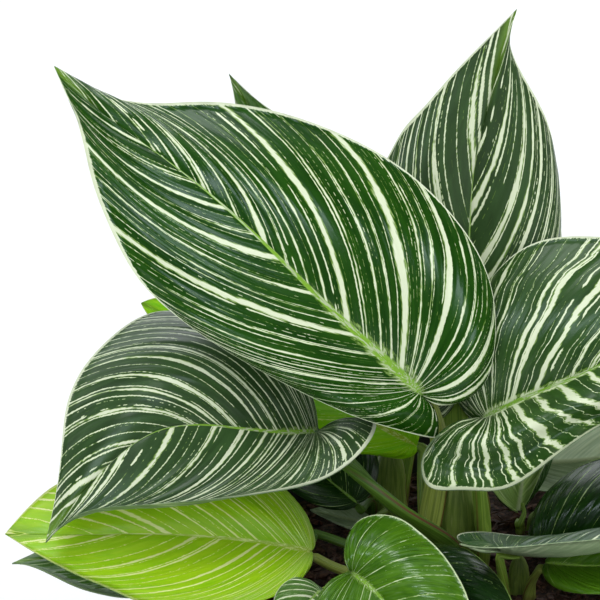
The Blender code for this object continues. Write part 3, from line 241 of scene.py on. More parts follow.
# ---------------------------------------------------------------- leaves
# Rows are (station, x, y, depth in mm) in the drawing.  A midrib's station is
# its share of the length; a margin's is the side vein that ends there.
BLADES = {
    "blade_large_front": dict(
        mid=[(0, 425, 398, -32), (0.1, 388, 363, -36), (0.25, 336, 314, -40), (0.5, 241, 221, -42),
             (0.75, 147, 146, -36), (0.9, 90, 102, -30), (1, 54, 66, -24)],
        left=[(0, 418.5, 404, -31), (0.06, 424, 419, -29), (0.12, 437, 437, -28), (0.18, 405, 431.5, -34), (0.25, 352, 415, -38),
              (0.32, 288, 385, -38), (0.40, 213, 342, -40), (0.48, 152, 294, -40), (0.55, 122, 252, -39), (0.62, 98, 198, -37),
              (0.70, 86, 155, -34), (0.78, 77, 120, -31), (0.86, 69, 101, -28), (0.93, 61, 83, -26), (1, 54, 66, -24)],
        right=[(0, 427, 397, -31), (0.06, 453, 399, -32), (0.12, 480, 388, -33), (0.18, 493, 357, -34), (0.25, 493, 297, -34),
               (0.32, 467, 235, -33), (0.40, 400, 167, -30), (0.48, 318, 125, -28), (0.55, 262, 108.5, -28), (0.62, 210, 102, -28),
               (0.70, 158, 103.5, -28), (0.78, 119, 99.5, -27), (0.86, 95, 90.5, -26), (0.93, 74, 77.5, -25), (1, 54, 66, -24)],
        bend_left=[0.10, 0.30, 0.15, 0.15, 0.18, 0.0], bend_right=[0.12, 0.40, 0.37, 0.25, 0.22, 0.0],
        rise_left=[(0, 0, 0), (0.12, 2, 0), (0.3, 7, -1), (0.6, 7, -1), (0.85, 3, 0), (1, 0, 0)],
        rise_right=[(0, 0, 0), (0.12, 4, 0), (0.3, 8, 0), (0.6, 8, 0), (0.85, 3, 0), (1, 0, 0)]),
    "blade_upright_back": dict(
        sweep=2.1,
        bend=[0.10, 0.28, 0.32, 0.32, 0.24, 0.0],
        mid=[(0, 456, 394, -8), (0.2, 464, 318, -11), (0.406, 469, 238, -14), (0.583, 474, 170, -18),
             (0.776, 491, 96, -23), (0.9, 504, 44, -27), (1, 517, 9, -31)],
        left=[(0, 454, 396, -8), (0.06, 443, 411, -9), (0.12, 431, 424, -10), (0.18, 413, 420, -10), (0.25, 387, 396, -9),
              (0.32, 368, 348, -8), (0.40, 361, 290, -9), (0.48, 362, 235, -11), (0.55, 371, 190, -14), (0.62, 387, 159, -16),
              (0.70, 404, 129, -19), (0.78, 424, 107, -21), (0.86, 452, 75, -24), (0.93, 484, 42, -28), (1, 517, 9, -31)],
        right=[(0, 458, 396, -8), (0.06, 470, 410, -6), (0.12, 484, 424, -3), (0.18, 505, 422, -1), (0.25, 532, 395, -2),
               (0.32, 553, 345, -5), (0.40, 562, 285, -8), (0.48, 561, 232, -11), (0.55, 559, 190, -14), (0.62, 554, 150, -16),
               (0.70, 545, 117, -19), (0.78, 530, 88, -22), (0.86, 514, 58, -25), (0.93, 509, 33, -28), (1, 517, 9, -31)],
        rise=[(0, 0, 0), (0.12, 3, 0), (0.3, 7, 0), (0.6, 7, 0), (0.85, 3, 0), (1, 0, 0)]),
    "blade_right_large": dict(
        mid=[(0, 480, 420, -25), (0.13, 528, 397, -30), (0.24, 568, 380, -34), (0.33, 600, 365, -36), (0.5, 665, 344, -36),
             (0.75, 760, 318, -30), (1, 850, 306, -18)],
        right=[(0, 478, 427, -26), (0.06, 457, 430, -30), (0.12, 436.5, 438.5, -34), (0.18, 422.5, 458, -37), (0.25, 429, 486.5, -40),
               (0.32, 462, 490, -44), (0.40, 507, 488, -47), (0.48, 553, 458, -49), (0.55, 600, 426, -49), (0.62, 655, 400, -46),
               (0.70, 710, 378, -42), (0.78, 757, 357, -36), (0.86, 795, 339, -30), (0.93, 822, 324, -24), (1, 850, 306, -18)],
        left=[(0, 478.5, 416, -24), (0.06, 470, 404, -22), (0.12, 463, 384, -20), (0.18, 463, 350, -19), (0.25, 475, 306, -19),
              (0.32, 505, 263, -21), (0.40, 549, 239, -23), (0.48, 600, 237, -25), (0.55, 645, 240, -26), (0.62, 690, 248, -26),
              (0.70, 732, 259, -27), (0.78, 770, 272, -27), (0.86, 803, 286, -25), (0.93, 828, 296, -22), (1, 850, 306, -18)],
        rise_left=[(0, 0, 0), (0.12, 4, 0), (0.3, 7, 0), (0.6, 8, 0), (0.85, 4, 0), (1, 0, 0)],
        rise_right=[(0, 0, 0), (0.12, 3, 2), (0.3, 4, 5), (0.6, 5, 4), (0.85, 3, 0), (1, 0, 0)]),
    "blade_left_curled": dict(
        sweep=1.45,
        mid=[(0, 318, 432, -14), (0.12, 281, 432, -19), (0.27, 235, 427.5, -25), (0.4, 198, 424.5, -29), (0.53, 160, 430, -33),
             (0.68, 122, 453, -37), (0.84, 82, 493, -40), (1, 45.5, 543, -42)],
        right=[(0, 316.5, 428, -12), (0.06, 301, 410, -7), (0.12, 284, 389, -2), (0.18, 262, 362, 4), (0.25, 233, 334, 8),
               (0.32, 200, 316, 10), (0.40, 165, 311, 9), (0.48, 137, 319, 5), (0.55, 114, 335, -1), (0.62, 92, 357, -8),
               (0.70, 76, 381, -15), (0.78, 66, 410, -22), (0.86, 61.5, 450, -30), (0.93, 56, 495, -36), (1, 45.5, 543, -42)],
        left=[(0, 320, 432, -16), (0.06, 345, 425, -21), (0.12, 371, 420.5, -25), (0.18, 375, 431, -30), (0.25, 358, 455.5, -38),
              (0.32, 326, 478, -46), (0.40, 280, 490.5, -49), (0.48, 225, 498, -50), (0.55, 180, 502, -50), (0.62, 140, 505, -49),
              (0.70, 110, 507, -47), (0.78, 88, 511, -46), (0.86, 73, 518, -45), (0.93, 58, 529, -44), (1, 45.5, 543, -42)],
        bend_right=[0.10, 0.32, 0.42, 0.46, 0.36, 0.0], bend_left=[0.10, 0.28, 0.30, 0.30, 0.24, 0.0],
        rise_right=[(0, 0, 0), (0.12, 3, -3), (0.25, 8, -3), (0.45, 12, 0), (0.7, 10, 0), (0.85, 5, 0), (1, 0, 0)],
        rise_left=[(0, 0, 0), (0.12, 5, 0), (0.3, 7, 2), (0.6, 6, 2), (0.85, 3, 0), (1, 0, 0)]),
    "blade_pale_behind": dict(
        mid=[(0, 417, 446, -3), (0.3, 335, 402, 10), (0.6, 250, 357, 23), (1, 141, 303, 36)],
        left=[(0, 416.5, 449, -3), (0.06, 412, 456, -3), (0.12, 398, 458.5, -1), (0.18, 378, 455, 3), (0.25, 350, 449, 8),
              (0.32, 312, 440, 12), (0.40, 268, 428, 18), (0.48, 232, 408, 23), (0.55, 208, 388, 26), (0.62, 188, 366, 29),
              (0.70, 170, 345, 32), (0.78, 157, 328, 34), (0.86, 149, 317, 35), (0.93, 144, 309, 36), (1, 141, 303, 36)],
        right=[(0, 417.5, 443, -3), (0.06, 417, 431, 0), (0.12, 412, 414, 4), (0.18, 398, 392, 8), (0.25, 374, 368, 13),
               (0.32, 346, 344, 15), (0.40, 310, 325, 20), (0.48, 276, 311, 25), (0.55, 248, 303, 28), (0.62, 222, 298, 31),
               (0.70, 198, 295, 33), (0.78, 177, 295, 35), (0.86, 162, 297, 36), (0.93, 151, 299, 36), (1, 141, 303, 36)],
        rise=[(0, 0, 0), (0.12, 2, 0), (0.3, 5, 0), (0.6, 5, 0), (0.85, 2, 0), (1, 0, 0)]),
    "blade_tall_behind": dict(
        mid=[(0, 437, 424, 8), (0.3, 392, 335, 26), (0.6, 326, 228, 30), (0.85, 262, 128, 20), (1, 229, 74, 12)],
        left=[(0, 434, 427, 9), (0.06, 424, 436, 12), (0.12, 406, 437, 17), (0.18, 384, 424, 22), (0.25, 354, 394, 29),
              (0.32, 326, 353, 34), (0.40, 301, 310, 37), (0.48, 281, 266, 38), (0.55, 266, 226, 36), (0.62, 254, 190, 32),
              (0.70, 246, 157, 27), (0.78, 240, 129, 21), (0.86, 236, 107, 17), (0.93, 233, 90, 14), (1, 229, 74, 12)],
        right=[(0, 439, 422, 9), (0.06, 450, 424, 12), (0.12, 463, 415, 16), (0.18, 472, 392, 20), (0.25, 474, 350, 24),
               (0.32, 463, 300, 27), (0.40, 442, 250, 28), (0.48, 411, 206, 27), (0.55, 380, 175, 25), (0.62, 346, 150, 22),
               (0.70, 313, 131, 19), (0.78, 286, 118, 17), (0.86, 266, 106.5, 15), (0.93, 248, 92, 13), (1, 229, 74, 12)],
        rise=[(0, 0, 0), (0.12, 3, 0), (0.3, 6, 0), (0.6, 6, 0), (0.85, 3, 0), (1, 0, 0)]),
    "blade_lime_low": dict(
        sweep=1.6,
        mid=[(0, 312, 551, -25), (0.15, 268, 543, -25), (0.35, 205, 536.5, -26), (0.6, 130, 534, -28), (0.8, 70, 535, -29), (1, 5, 534, -29)],
        right=[(0, 313, 547, -23), (0.06, 313, 536, -18), (0.12, 308, 522, -11), (0.18, 299, 507, -5), (0.25, 284, 489, 1),
               (0.32, 261, 474, 4), (0.40, 231, 463, 4), (0.48, 198, 457, 2), (0.55, 166, 457, -2), (0.62, 136, 460, -7),
               (0.70, 106, 467, -12), (0.78, 78, 476, -17), (0.86, 51, 488, -21), (0.93, 26, 510, -25), (1, 5, 534, -29)],
        left=[(0, 311, 555, -27), (0.06, 307, 569, -33), (0.12, 297, 582, -39), (0.18, 281, 593, -45), (0.25, 260, 601, -50),
              (0.32, 236, 607, -53), (0.40, 210, 609.5, -54), (0.48, 184, 609, -53), (0.55, 160, 606, -51), (0.62, 136, 600.5, -48),
              (0.70, 110, 589, -44), (0.78, 84, 578, -40), (0.86, 58, 565.5, -36), (0.93, 31, 550.5, -32), (1, 5, 534, -29)],
        rise=[(0, 0, 0), (0.12, 2, 0), (0.3, 5, 0), (0.6, 5, 0), (0.85, 2, 0), (1, 0, 0)]),
    "blade_dark_low": dict(
        mid=[(0, 312, 528, -9), (0.3, 225, 533, -15), (0.6, 140, 545, -18), (1, 12, 563.5, -22)],
        right=[(0, 312, 526, -8), (0.06, 306, 520, -3), (0.12, 294, 514, 2), (0.18, 277, 509, 6), (0.25, 256, 505, 9),
               (0.32, 232, 503, 10), (0.40, 206, 503, 10), (0.48, 178, 506, 8), (0.55, 152, 511, 5), (0.62, 127, 517, 1),
               (0.70, 102, 525, -4), (0.78, 78, 534, -9), (0.86, 55, 544, -14), (0.93, 33, 554, -18), (1, 12, 563.5, -22)],
        left=[(0, 313, 531, -10), (0.06, 316, 535, -11), (0.12, 316, 541, -12), (0.18, 306, 549, -15), (0.25, 288, 559, -21),
              (0.32, 262, 569, -29), (0.40, 230, 578, -35), (0.48, 196, 587, -38), (0.55, 162, 594, -38), (0.62, 130, 598, -36),
              (0.70, 100, 594, -33), (0.78, 76, 587, -30), (0.86, 52, 575.5, -27), (0.93, 30, 566, -24), (1, 12, 563.5, -22)],
        rise=[(0, 0, 0), (0.12, 1, 0), (0.3, 3, 0), (0.6, 3, 0), (0.85, 1, 0), (1, 0, 0)]),
    "blade_glossy_front": dict(
        mid=[(0, 351, 572, -49), (0.2, 371, 587, -55), (0.4, 391, 611, -62), (0.7, 425, 664, -74), (1, 470, 745, -84)],
        left=[(0, 349.5, 568, -48), (0.06, 346.5, 552, -44), (0.12, 348, 537, -40), (0.18, 357, 522.5, -37), (0.25, 376, 515, -36),
              (0.32, 398, 518, -38), (0.40, 418, 531, -42), (0.48, 435, 546, -47), (0.55, 447, 560, -52), (0.62, 458, 577, -57),
              (0.70, 467, 596, -63), (0.78, 474, 620, -69), (0.86, 478, 650, -75), (0.93, 477, 692, -80), (1, 470, 745, -84)],
        right=[(0, 347.5, 576, -50), (0.06, 336, 582, -52), (0.12, 323, 591, -56), (0.18, 315, 605, -60), (0.25, 313, 624, -65),
               (0.32, 318, 645, -70), (0.40, 330, 664, -75), (0.48, 345, 680, -79), (0.55, 361, 693, -82), (0.62, 379, 704, -84),
               (0.70, 399, 714, -86), (0.78, 419, 723, -87), (0.86, 438, 732, -86), (0.93, 455, 739, -85), (1, 470, 745, -84)],
        rise=[(0, 0, 0), (0.12, 3, 0), (0.3, 6, 0), (0.6, 5, 0), (0.85, 2, 0), (1, 0, 0)]),
    "blade_dark_front": dict(
        mid=[(0, 412, 560, -31), (0.3, 446, 588, -43), (0.6, 485, 632, -60), (1, 525, 680, -78)],
        left=[(0, 411, 557, -30), (0.06, 411, 550, -28), (0.12, 419, 544.5, -26), (0.18, 433, 544, -25), (0.25, 451, 545.5, -27),
              (0.32, 468, 550.5, -31), (0.40, 483, 561.5, -36), (0.48, 495, 573.5, -42), (0.55, 504, 585.5, -48), (0.62, 511, 599, -54),
              (0.70, 517, 615, -60), (0.78, 521, 634, -66), (0.86, 524, 652, -71), (0.93, 525.5, 667, -75), (1, 525, 680, -78)],
        right=[(0, 411, 563, -32), (0.06, 403, 568, -35), (0.12, 397, 577, -39), (0.18, 395, 590, -44), (0.25, 399, 606, -50),
               (0.32, 408, 622, -56), (0.40, 421, 635, -61), (0.48, 436, 646, -66), (0.55, 450, 654, -69), (0.62, 465, 661, -72),
               (0.70, 481, 667, -74), (0.78, 497, 672, -76), (0.86, 509, 676, -77), (0.93, 518, 679, -78), (1, 525, 680, -78)],
        rise=[(0, 0, 0), (0.12, 2, 0), (0.3, 4, 0), (0.6, 4, 0), (0.85, 2, 0), (1, 0, 0)]),
    "blade_edge_on": dict(
        mid=[(0, 500, 550, -36), (0.2, 545, 555.5, -38), (0.45, 600, 545, -40), (0.7, 668, 530, -38), (1, 745, 512, -30)],
        left=[(0, 499, 549, -35), (0.06, 480, 546, -33), (0.12, 462, 542, -31), (0.18, 457, 536, -28), (0.25, 468, 532.5, -25),
              (0.32, 490, 532.5, -22), (0.40, 520, 536, -20), (0.48, 553, 536, -19), (0.55, 580, 534.5, -18), (0.62, 608, 529, -18),
              (0.70, 640, 523, -19), (0.78, 672, 517, -21), (0.86, 702, 513, -24), (0.93, 727, 511, -27), (1, 745, 512, -30)],
        right=[(0, 500, 551, -38), (0.06, 481, 549.5, -44), (0.12, 464, 546, -50), (0.18, 460, 544.5, -56), (0.25, 475, 547, -61),
               (0.32, 500, 547.5, -64), (0.40, 527, 546, -65), (0.48, 556, 543, -64), (0.55, 582, 541, -62), (0.62, 608, 538, -58),
               (0.70, 640, 533, -53), (0.78, 672, 527, -47), (0.86, 702, 521, -41), (0.93, 727, 516, -35), (1, 745, 512, -30)],
        rise=[(0, 0, 0), (0.3, 1, 0), (0.6, 1, 0), (1, 0, 0)]),
    "blade_dark_right": dict(
        mid=[(0, 533, 545, 1), (0.3, 590, 531, -1), (0.6, 650, 516, -3), (1, 735, 500, -3)],
        left=[(0, 532, 543, 1), (0.06, 529, 534, 3), (0.12, 531, 524, 6), (0.18, 535, 512, 9), (0.25, 542, 498, 12),
              (0.32, 555, 484, 15), (0.40, 575, 469, 17), (0.48, 600, 458.5, 17), (0.55, 625, 454, 15), (0.62, 650, 455, 12),
              (0.70, 675, 462, 8), (0.78, 697, 472, 4), (0.86, 714, 482, 0), (0.93, 726, 491, -2), (1, 735, 500, -3)],
        right=[(0, 534, 547, 0), (0.06, 540, 555, -3), (0.12, 552, 560, -6), (0.18, 568, 562, -9), (0.25, 586, 560, -12),
               (0.32, 604, 557, -14), (0.40, 622, 552, -16), (0.48, 640, 546, -17), (0.55, 656, 540, -16), (0.62, 671, 534, -14),
               (0.70, 686, 527, -12), (0.78, 700, 520, -9), (0.86, 713, 513, -7), (0.93, 724, 507, -5), (1, 735, 500, -3)],
        rise=[(0, 0, 0), (0.12, 2, 0), (0.3, 5, 0), (0.6, 5, 0), (0.85, 2, 0), (1, 0, 0)]),
    "blade_low_right": dict(
        mid=[(0, 545, 563, -31), (0.3, 590, 566, -34), (0.6, 640, 562, -37), (1, 720, 552, -40)],
        right=[(0, 544, 566, -32), (0.06, 543, 572, -34), (0.12, 546, 579, -37), (0.18, 554, 586.5, -41), (0.25, 570, 592, -45),
               (0.32, 590, 594, -48), (0.40, 612, 594, -50), (0.48, 634, 591, -51), (0.55, 652, 587, -51), (0.62, 668, 582, -50),
               (0.70, 683, 576, -48), (0.78, 696, 569, -45), (0.86, 706, 562, -43), (0.93, 714, 557, -41), (1, 720, 552, -40)],
        left=[(0, 546, 561, -30), (0.06, 550, 556, -27), (0.12, 557, 551, -24), (0.18, 567, 546, -21), (0.25, 580, 542, -19),
              (0.32, 596, 539, -18), (0.40, 614, 537, -18), (0.48, 632, 536, -19), (0.55, 648, 536, -21), (0.62, 664, 537, -24),
              (0.70, 680, 540, -28), (0.78, 694, 543, -32), (0.86, 705, 546, -35), (0.93, 714, 549, -38), (1, 720, 552, -40)],
        rise=[(0, 0, 0), (0.12, 2, 0), (0.3, 4, 0), (0.6, 4, 0), (0.85, 2, 0), (1, 0, 0)]),
    "blade_shaded_left": dict(
        mid=[(0, 357, 503, 6), (0.3, 330, 481, 12), (0.6, 300, 458, 17), (1, 250, 424, 22)],
        left=[(0, 356, 505, 6), (0.06, 347, 509, 5), (0.12, 332, 508.5, 5), (0.18, 316, 504.5, 6), (0.25, 300, 496, 8),
              (0.32, 285, 485, 11), (0.40, 273, 473, 13), (0.48, 264, 462, 15), (0.55, 258, 452, 17), (0.62, 254, 444, 18),
              (0.70, 251, 437, 20), (0.78, 250, 432, 21), (0.86, 249, 429, 21), (0.93, 249, 426, 22), (1, 250, 424, 22)],
        right=[(0, 359, 501, 6), (0.06, 366, 497, 8), (0.12, 373, 489, 11), (0.18, 378, 473, 15), (0.25, 376, 455, 18),
               (0.32, 364, 438, 21), (0.40, 348, 426, 23), (0.48, 330, 418, 24), (0.55, 314, 414, 25), (0.62, 299, 412, 25),
               (0.70, 285, 412, 25), (0.78, 273, 414, 24), (0.86, 263, 417, 23), (0.93, 256, 420, 22), (1, 250, 424, 22)],
        rise=[(0, 0, 0), (0.12, 2, 0), (0.3, 4, 0), (0.6, 3, 0), (0.85, 1, 0), (1, 0, 0)]),
    "blade_pale_underside": dict(
        facing=-1,
        mid=[(0, 518, 511, 12), (0.3, 522, 481, 14), (0.6, 528, 446, 17), (1, 540, 398, 20)],
        right=[(0, 517, 513, 12), (0.06, 509, 507, 11), (0.12, 499, 498, 10), (0.18, 491, 486, 9), (0.25, 487, 472, 9),
               (0.32, 487, 457, 10), (0.40, 491, 443, 12), (0.48, 497, 431, 14), (0.55, 504, 422, 16), (0.62, 512, 414, 17),
               (0.70, 519, 409, 18), (0.78, 526, 405, 19), (0.86, 532, 402, 20), (0.93, 536, 400, 20), (1, 540, 398, 20)],
        left=[(0, 520, 511, 12), (0.06, 526, 503, 12), (0.12, 533, 490, 12), (0.18, 539, 476, 13), (0.25, 545, 463, 14),
              (0.32, 551, 450, 15), (0.40, 555, 438, 17), (0.48, 557, 427, 18), (0.55, 557, 418, 19), (0.62, 555, 411, 20),
              (0.70, 552, 406, 20), (0.78, 549, 402, 20), (0.86, 546, 400, 20), (0.93, 543, 399, 20), (1, 540, 398, 20)],
        rise=[(0, 0, 0), (0.12, 2, 0), (0.3, 4, 0), (0.6, 3, 0), (0.85, 1, 0), (1, 0, 0)]),
    "blade_grey_right": dict(
        facing=-1, attach=1,
        mid=[(0, 512, 462, 28), (0.3, 566, 462, 30), (0.6, 630, 452, 32), (1, 725, 424, 30)],
        right=[(0, 511, 460, 28), (0.06, 512, 446, 32), (0.12, 522, 432, 37), (0.18, 538, 420, 41), (0.25, 560, 412, 44),
               (0.32, 583, 407, 46), (0.40, 607, 403, 47), (0.48, 629, 401, 46), (0.55, 649, 401, 44), (0.62, 667, 402, 42),
               (0.70, 684, 405, 39), (0.78, 698, 409, 36), (0.86, 710, 414, 33), (0.93, 718, 419, 31), (1, 725, 424, 30)],
        left=[(0, 512, 464, 28), (0.06, 514, 476, 26), (0.12, 524, 486, 24), (0.18, 542, 491, 23), (0.25, 562, 492, 22),
              (0.32, 584, 490, 22), (0.40, 607, 484, 22), (0.48, 629, 476, 23), (0.55, 649, 467, 24), (0.62, 667, 458, 25),
              (0.70, 684, 449, 27), (0.78, 698, 441, 28), (0.86, 710, 434, 29), (0.93, 718, 429, 30), (1, 725, 424, 30)],
        rise=[(0, 0, 0), (0.12, 2, 0), (0.3, 4, 0), (0.6, 4, 0), (0.85, 2, 0), (1, 0, 0)]),
    "blade_small_striped": dict(
        mid=[("at", 320, 590, -47), ("at", 306, 604, -56), ("at", 291, 619, -66), ("at", 276, 636, -75)],
        up=(0.15, -0.45, 0.88), half=0.0092, fold=(0.15, 0.15), droop=0.25),
    "blade_small_grey": dict(
        facing=-1,
        mid=[(0, 371, 524, 12), (0.4, 348, 519, 15), (0.7, 330, 515, 17), (1, 310, 510, 20)],
        right=[(0, 371, 526, 11), (0.06, 369, 530, 9), (0.12, 364, 532, 8), (0.18, 358, 532, 8), (0.25, 352, 530, 8), (0.32, 347, 528, 9),
               (0.40, 342, 526, 10), (0.48, 337, 524, 11), (0.55, 333, 522, 12), (0.62, 329, 520, 14), (0.70, 325, 518, 15),
               (0.78, 321, 516, 17), (0.86, 317, 514, 18), (0.93, 313, 512, 19), (1, 310, 510, 20)],
        left=[(0, 371, 523, 13), (0.06, 371, 519, 15), (0.12, 368, 515, 17), (0.18, 363, 512, 18), (0.25, 357, 510, 19), (0.32, 351, 508, 20),
              (0.40, 345, 507, 21), (0.48, 339, 506, 21), (0.55, 334, 506, 21), (0.62, 329, 506, 21), (0.70, 325, 506, 21),
              (0.78, 321, 507, 21), (0.86, 317, 508, 20), (0.93, 313, 509, 20), (1, 310, 510, 20)],
        rise=[(0, 0, 0), (0.3, 1, 0), (0.6, 1, 0), (1, 0, 0)]),
    "blade_rear_left": dict(
        mid=[(-0.030, 0.064, 0.138), (-0.052, 0.088, 0.144), (-0.074, 0.113, 0.140), (-0.092, 0.135, 0.123)],
        up=(0.0, 0.25, 0.97), up_tip=(-0.35, 0.45, 0.80), half=0.034, fold=(0.20, 0.20), droop=0.32, ripple=0.001),
    "blade_rear": dict(
        mid=[(-0.002, 0.066, 0.160), (-0.007, 0.095, 0.172), (-0.013, 0.126, 0.174), (-0.019, 0.154, 0.163)],
        up=(0.0, 0.20, 0.98), up_tip=(0.0, 0.60, 0.80), half=0.034, fold=(0.22, 0.22), droop=0.32, ripple=0.001),
}

# ---------------------------------------------------------------- shoots and stalks
# Each shoot: centre (x, y), radius and height above the potting mix, in metres.
SHOOTS = {
    "stem_main": (0.0, 0.0, 0.0052, 0.024),
    "stem_front_left": (-0.019, -0.016, 0.0032, 0.010),
    "stem_front_right": (0.018, -0.015, 0.0032, 0.012),
    "stem_back_right": (0.026, 0.022, 0.0032, 0.006),
    "stem_back_left": (-0.019, 0.031, 0.0032, 0.012),
}
# Each stalk: its shoot, foot angle and foot ring radius; points (x, y, depth)
# of the drawing it passes; and (share, half width, half thickness) in mm.
STALKS = {
    "large_front": ("stem_main", 205, 8.8, [(439, 440, -19)], [(0, 3.3, 1.8), (0.3, 4.4, 1.9), (0.6, 3.0, 2.0), (1, 2.1, 1.9)]),
    "upright_back": ("stem_main", 50, 8.8, [(456, 430, -7)], [(0, 3.3, 1.8), (0.3, 3.6, 1.9), (0.6, 2.8, 2.0), (1, 2.2, 1.9)]),
    "right_large": ("stem_main", 330, 8.8, [(478, 450, -24)], [(0, 3.3, 1.8), (0.3, 4.2, 1.9), (0.6, 3.0, 2.0), (1, 2.0, 1.9)]),
    "left_curled": ("stem_main", 265, 8.8, [(400, 510, -20), (355, 470, -18)], [(0, 3.4, 1.8), (0.25, 5.4, 1.9), (0.6, 4.0, 2.1), (1, 2.6, 2.2)]),
    "pale_behind": ("stem_main", 150, 8.8, [], [(0, 3.3, 1.8), (0.4, 3.2, 1.8), (1, 1.9, 1.8)]),
    "tall_behind": ("stem_main", 98, 8.8, [], [(0, 3.2, 1.8), (0.4, 2.8, 1.8), (1, 1.9, 1.8)]),
    "lime_low": ("stem_front_left", 195, 6.2, [(348, 572, -19)], [(0, 2.3, 1.5), (0.4, 1.8, 1.5), (1, 1.4, 1.4)]),
    "dark_low": ("stem_front_left", 140, 6.2, [], [(0, 2.3, 1.5), (0.4, 1.7, 1.4), (1, 1.3, 1.3)]),
    "glossy_front": ("stem_front_left", 240, 6.2, [], [(0, 2.3, 1.5), (0.4, 1.8, 1.5), (1, 1.5, 1.4)]),
    "dark_front": ("stem_front_left", 300, 6.2, [], [(0, 2.3, 1.5), (0.4, 1.7, 1.4), (1, 1.3, 1.3)]),
    "small_striped": ("stem_front_left", 218, 10.5, [], [(0, 1.3, 1.2), (1, 1.1, 1.1)]),
    "edge_on": ("stem_front_right", 250, 14.0, [], [(0, 2.3, 1.5), (0.4, 1.8, 1.5), (1, 1.4, 1.3)], (1.0, 4.5, 0)),
    "low_right": ("stem_front_right", 297, 6.2, [], [(0, 2.3, 1.5), (0.4, 1.7, 1.4), (1, 1.3, 1.3)]),
    "dark_right": ("stem_back_right", 278, 6.2, [], [(0, 2.3, 1.5), (1, 1.3, 1.3)]),
    "pale_underside": ("stem_back_right", 212, 6.2, [], [(0, 1.6, 1.4), (1, 1.2, 1.2)], (0, 3.0, 1.5)),
    "grey_right": ("stem_back_right", 118, 14.0, [], [(0, 2.0, 1.5), (1, 1.4, 1.3)], (0, 3.0, 0)),
    "rear": ("stem_back_left", 50, 6.2, [], [(0, 2.3, 1.6), (0.4, 2.2, 1.7), (1, 1.9, 1.8)]),
    "shaded_left": ("stem_back_left", 212, 6.2, [], [(0, 2.2, 1.5), (1, 1.4, 1.3)]),
    "small_grey": ("stem_back_left", 268, 6.2, [], [(0, 1.3, 1.2), (1, 1.0, 1.0)]),
    "rear_left": ("stem_back_left", 125, 6.2, [], [(0, 2.3, 1.6), (0.4, 2.2, 1.7), (1, 1.9, 1.8)]),
}
BLADE_THICK = 0.0010
STALK_GAP = 0.0004   # from the end of a stalk to the underside of its blade


def stalk_path(key):
    """Centre line and section frames of a stalk: returns f(t) -> (point, side,
    front, half width, half thickness)."""
    shoot, angle, ring, via, widths = STALKS[key][:5]
    shift = STALKS[key][5] if len(STALKS[key]) > 5 else None
    cx, cy = SHOOTS[shoot][:2]
    a = math.radians(angle)
    out = np.array([math.cos(a), math.sin(a), 0.0])
    foot = np.array([cx, cy, SOIL_Z + 0.0004]) + out * ring * 0.001
    surface = blade_surface(BLADES["blade_" + key])
    top = surface(np.array([0.0]), np.array([0.0]))[0]
    inner = surface(np.array([0.30]), np.array([0.0]))[0]
    across = unit(surface(np.array([0.3]), np.array([0.35]))[0] - surface(np.array([0.3]), np.array([-0.35]))[0])
    points = [foot, foot + np.array([0, 0, 0.004]) + out * 0.0004] + [at(*v) for v in via]
    blade = BLADES["blade_" + key]
    face = unit(np.cross(across, inner - top))
    skyward = -EYE_F * blade.get("attach", blade.get("facing", 1)) if "left" in blade else np.array(blade["up"], float)
    if face @ skyward < 0:
        face = -face
    along = unit(inner - top)
    rest = widths[-1][2] * 0.001 + BLADE_THICK / 2 + STALK_GAP
    end = top - face * rest - along * 0.0015
    if shift is not None:
        end = end + (EYE_R * shift[0] - EYE_U * shift[1] + EYE_F * shift[2]) * 0.001
    points.append(end)
    pts = np.array(points)
    chord = np.concatenate([[0], np.cumsum(np.linalg.norm(np.diff(pts, axis=0), axis=1))])
    chord = chord / chord[-1]
    line = spline(chord, pts)
    wt = smooth([w[0] for w in widths], [w[1:] for w in widths])
    side0 = np.array([-math.sin(a), math.cos(a), 0.0])
    if side0 @ across < 0:
        side0 = -side0

    def f(t):
        t = np.atleast_1d(np.asarray(t, float))
        p = line(t)
        d = unit(line(np.clip(t + 1e-3, 0, 1)) - line(np.clip(t - 1e-3, 0, 1)))
        d[0 if t[0] == 0 else slice(0, 0)] = np.array([0, 0, 1.0])
        side = unit(side0 * (1 - t)[:, None] + across * t[:, None])
        side = unit(side - d * np.sum(side * d, axis=1, keepdims=True))
        front = np.cross(side, d)
        ww = wt(t) * 0.001
        return p, side, front, ww[:, 0], ww[:, 1]

    return f


def stalk_rings(key, rings, sides):
    """Vertices (rings, sides, 3) of a stalk's rounded skin."""
    t = np.linspace(0, 1, rings)
    p, side, front, w, h = stalk_path(key)(t)
    a = 2 * np.pi * np.arange(sides) / sides
    c, s = np.cos(a), np.sin(a)
    return p[:, None, :] + side[:, None, :] * (w[:, None] * c)[..., None] + front[:, None, :] * (h[:, None] * s)[..., None]

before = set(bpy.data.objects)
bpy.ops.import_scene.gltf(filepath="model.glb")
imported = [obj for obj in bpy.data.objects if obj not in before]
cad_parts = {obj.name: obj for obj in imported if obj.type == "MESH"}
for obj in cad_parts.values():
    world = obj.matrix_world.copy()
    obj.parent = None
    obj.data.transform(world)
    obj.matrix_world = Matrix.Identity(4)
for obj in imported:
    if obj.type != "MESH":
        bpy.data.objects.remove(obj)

# ---------------------------------------------------------------- helpers
rng = np.random.default_rng(20)


